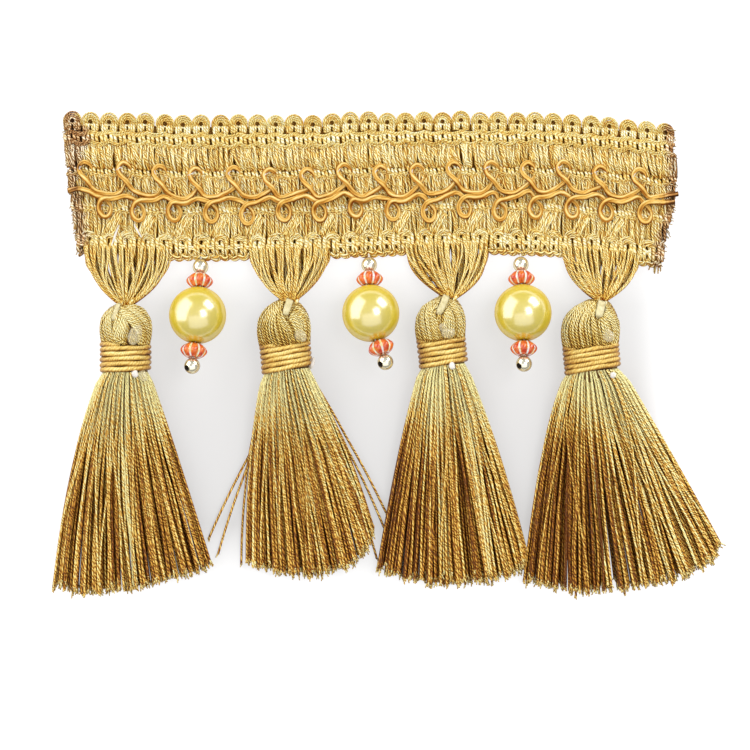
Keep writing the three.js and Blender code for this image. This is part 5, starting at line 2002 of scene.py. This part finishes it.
def lobed(angle, profile):
    """How far the flutes draw in a rondelle's profile."""
    share = np.clip((profile[:, 0] - 1.3) / 1.2, 0, 1)
    return 1 - 0.2 * share * (1 - lobe_swell(angle))


def slant(lean, tilt):
    """A way up along a drop's thread, from its lean in plan and its tilt down to the table."""
    lean = math.radians(lean)
    return np.array([math.sin(lean) * math.cos(tilt), math.cos(lean) * math.cos(tilt), -math.sin(tilt)])


def round_bead(name, radius, rows, sides, way, centre, finish):
    """A round bead on the table, with the two mouths of its bore kept on it, which the gilt balls' finish
    reads for the painted shade inside the bore.
    """
    points, faces = turned_bead(round_profile(radius, rows), sides, way, centre)
    points[:, 2] = np.maximum(points[:, 2], 0.0)
    bead = solid(name, points, faces, finish)
    mouth = np.zeros(rows)
    mouth[[0, -1]] = 1.0
    keep_on(bead.data, "bore", np.tile(mouth, sides))
    return bead


def rondelle(name, way, centre, finish):
    """A fluted bead, with the depth of its flutes kept on it."""
    sides = RONDELLE_LOBES * 12
    profile = rondelle_profile()
    points, faces = turned_bead(profile, sides, way, centre, lobed)
    bead = solid(name, points, faces, finish)
    flutes = [1 - lobe_swell(a) for a in np.linspace(0, 2 * np.pi, sides, endpoint=False)]
    keep_on(bead.data, "flute", np.repeat(flutes, len(profile)))
    return bead


def drop_thread(name, route, finish):
    """The thread through a drop's beads."""
    skein = Skein()
    skein.lay(smooth_path(route, 0.8), DROP_THREAD, 0.6)
    return swept(name, skein, 8, finish)


def make_drop(drop, finishes):
    """The beads of a drop, and the thread that runs through them and bends at the pearl."""
    name, x, y, upper_lean, lower_lean = drop
    pearl = np.array([x, y, PEARL_CENTRE])
    above = slant(upper_lean, UPPER_TILT)
    below = -slant(-lower_lean, LOWER_TILT)
    axis = (above - below) / np.linalg.norm(above - below)
    rondelle_out = PEARL_RADIUS + BEAD_GAP * 0.5 + RONDELLE_HALF
    ball_out = rondelle_out + RONDELLE_HALF + BEAD_GAP * 0.3
    top = pearl + above * (ball_out + TOP_BALL)
    end = pearl + below * (ball_out + END_BALL)
    middles = pearl + above * rondelle_out, pearl + below * rondelle_out
    hem = float(heading_y(x, HEADING_DEPTH - 1.2))
    route = [np.array([top[0] + above[0] * 2, hem, 1.5]), top + above * TOP_BALL, top]
    route += [pearl + axis * PEARL_RADIUS, pearl, pearl - axis * PEARL_RADIUS]
    route += [middles[1], pearl + below * (ball_out + END_BALL * 1.6)]
    coat, gold, glass = finishes["pearl"], finishes["ball"], finishes["rondelle"]
    made = {
        "pearl": round_bead(f"{name}_pearl_bead", PEARL_RADIUS, 41, 64, axis, pearl, coat),
        "top_ball": round_bead(f"{name}_top_ball_bead", TOP_BALL, 23, 32, above, top, gold),
        "end_ball": round_bead(f"{name}_end_ball_bead", END_BALL, 23, 32, END_BORE_WAY, end, gold),
        "top_rondelle": rondelle(f"{name}_top_rondelle_bead", above, middles[0], glass),
        "lower_rondelle": rondelle(f"{name}_lower_rondelle_bead", -below, middles[1], glass),
        "thread": drop_thread(f"{name}_cord", route, finishes["thread"]),
    }
    for part, piece in made.items():
        add_piece(piece, [f"{name}_{part}"])


# Stage
def table_finish():
    """Pale and plain, with a painted glow: grey round the object as painted shade, as bright as paper away
    from it.
    """
    finish, tree, shader = new_finish("pale table")
    place = place_in(tree)
    away = ranged(
        tree, maths(tree, "ABSOLUTE", place["X"]), 0.051, 0.062, interpolation_type="SMOOTHSTEP"
    )
    greys = [
        (0.08, (0.92, 0.92, 0.92)),
        (0.24, (0.50, 0.495, 0.49)),
        (0.50, (0.56, 0.555, 0.55)),
        (0.70, (0.64, 0.64, 0.635)),
        (0.86, (0.92, 0.92, 0.92)),
    ]
    # Painted shade and light: the table glows by itself, greyer round the object where the tassels would
    # shade it and as bright as paper further off
    near = ramp(tree, ranged(tree, place["Y"], -0.06, 0.04), greys)
    looks = {
        "Base Color": (0.25, 0.248, 0.246, 1),
        "Emission Color": mixed(tree, away, near, (0.92, 0.92, 0.92, 1)),
        "Emission Strength": 1.0,
        "Roughness": 0.9,
        "Specular IOR Level": 0.1,
    }
    fill(tree, shader, looks)
    return finish


def make_table():
    mesh = bpy.data.meshes.new("table")
    corners = [(x * TABLE_HALF, y * TABLE_HALF, TABLE_TOP) for x, y in ((-1, -1), (1, -1), (1, 1), (-1, 1))]
    mesh.from_pydata(corners, [], [(0, 1, 2, 3)])
    mesh.materials.append(table_finish())
    link(bpy.data.objects.new("table", mesh))


def make_camera():
    """A long lens straight above the object."""
    data = bpy.data.cameras.new("camera")
    data.lens = LENS
    data.sensor_width = SENSOR
    camera = link(bpy.data.objects.new("camera", data))
    distance = VIEW_WIDTH * LENS / SENSOR
    camera.location = Vector((*VIEW_CENTRE, VIEW_HEIGHT + distance)) * MM
    bpy.context.scene.camera = camera


def make_lamps():
    """Soft windows all round the object."""
    for name, way, distance, (wide, tall), power in LAMPS:
        data = bpy.data.lights.new(name, "AREA")
        data.shape = "RECTANGLE"
        data.size = wide
        data.size_y = tall
        data.energy = power
        lamp = link(bpy.data.objects.new(name, data))
        way = Vector(way).normalized()
        lamp.location = way * distance
        lamp.rotation_mode = "QUATERNION"
        lamp.rotation_quaternion = way.to_track_quat("Z", "Y")


def make_room():
    """Pale walls and a brighter ceiling."""
    world = bpy.data.worlds.new("studio")
    world.use_nodes = True
    tree = world.node_tree
    greys = [(0.0, (0.26, 0.25, 0.24)), (0.5, (0.29, 0.29, 0.29)), (0.95, (0.52, 0.52, 0.54))]
    room = ramp(tree, place_in(tree, "Generated")["Z"], greys)
    tree.links.new(room, tree.nodes["Background"].inputs["Color"])
    bpy.context.scene.world = world
    bpy.context.scene.view_settings.view_transform = "Standard"


def add_piece(obj, nodes=()):
    """A piece that rides on the trim's one body and the nodes it stands for."""
    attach(obj, "root")
    if nodes:
        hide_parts(*nodes)
    return obj


def heading_work():
    """The yarn work of the heading: each piece's name, strands and finish."""
    arches, feet = picot_loops()
    shells = {name: shell_row(*row) for name, row in SHELL_ROWS.items()}
    return [
        ("picot_edge", arches, "khaki"),
        ("picot_feet", feet, "pale"),
        ("edge_lines", edge_lines(), "khaki"),
        ("edge_stitches", edge_stitches(), "pale"),
        ("upper_shells", shells["upper_shells"], "heading"),
        ("middle_chain", middle_chain(), "pale"),
        ("second_row", shells["second_row"], "heading"),
        ("third_row", shells["third_row"], "heading"),
        ("lower_chain", lower_chain(), "pale"),
        ("lower_fans", lower_fans(), "heading"),
        ("selvedge_legs", selvedge_legs(), "pale"),
        ("selvedge_arches", selvedge_arches(), "heading"),
        ("hem_loops", hem_loops(), "heading"),
        ("cut_fringe", cut_fringe(), "heading"),
        ("glue_streaks", glue_streaks(), "white"),
    ]


def make_heading(finishes):
    ground = add_piece(make_ground(finishes), ["heading"])
    for name, skein, finish in heading_work():
        add_piece(swept(name, skein, 6, finishes[finish]))
    upper, lower = scroll_cords()
    for name, path, radius, sinking in (("upper", upper, UPPER_CORD, 1), ("lower", lower, LOWER_CORD, -1)):
        cord = swept(f"scroll_{name}_wound", cord_skein(path, radius, sinking), 12, finishes["scroll"])
        add_piece(cord, [f"scroll_cord_{name}"])
    add_piece(swept("nylon_stitches", nylon_stitches(), 5, finishes["nylon"]))


def make_tassel(tassel, locks, finishes):
    name = tassel["name"]
    wrap = name.replace("tassel", "tassel_wrap")
    tie = name.replace("tassel", "tassel_tie")
    add_piece(head_core(tassel, finishes))
    add_piece(swept(name + "_skirt", skirt(tassel), 5, finishes["skirt"]), [name])
    add_piece(swept(name + "_head", head_threads(tassel, locks), 6, finishes["head"]))
    add_piece(swept(name + "_hanger", hanger_threads(tassel), 6, finishes["hanger"]))
    add_piece(swept(wrap + "_cord", wrap_cord(tassel), 10, finishes["wrap"]), [wrap])
    add_piece(tie_tape(tassel, finishes), [tie])
    add_piece(swept(tie + "_turns", neck_ring(tassel), 8, finishes["pale"]))


def main():
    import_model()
    make_table()
    make_camera()
    make_lamps()
    make_room()
    finishes = make_finishes()
    make_heading(finishes)
    for tassel, locks in zip(TASSELS, HEAD_LOCKS):
        make_tassel(tassel, locks, finishes)
    add_piece(swept("loose_strands", loose_strands(), 5, finishes["skirt"]))
    for drop in DROPS:
        make_drop(drop, finishes)
    for seed, (name, centre, size, finish, turn) in enumerate(GLUE):
        add_piece(blob(name, centre, size, finishes[finish], turn, seed))


main()
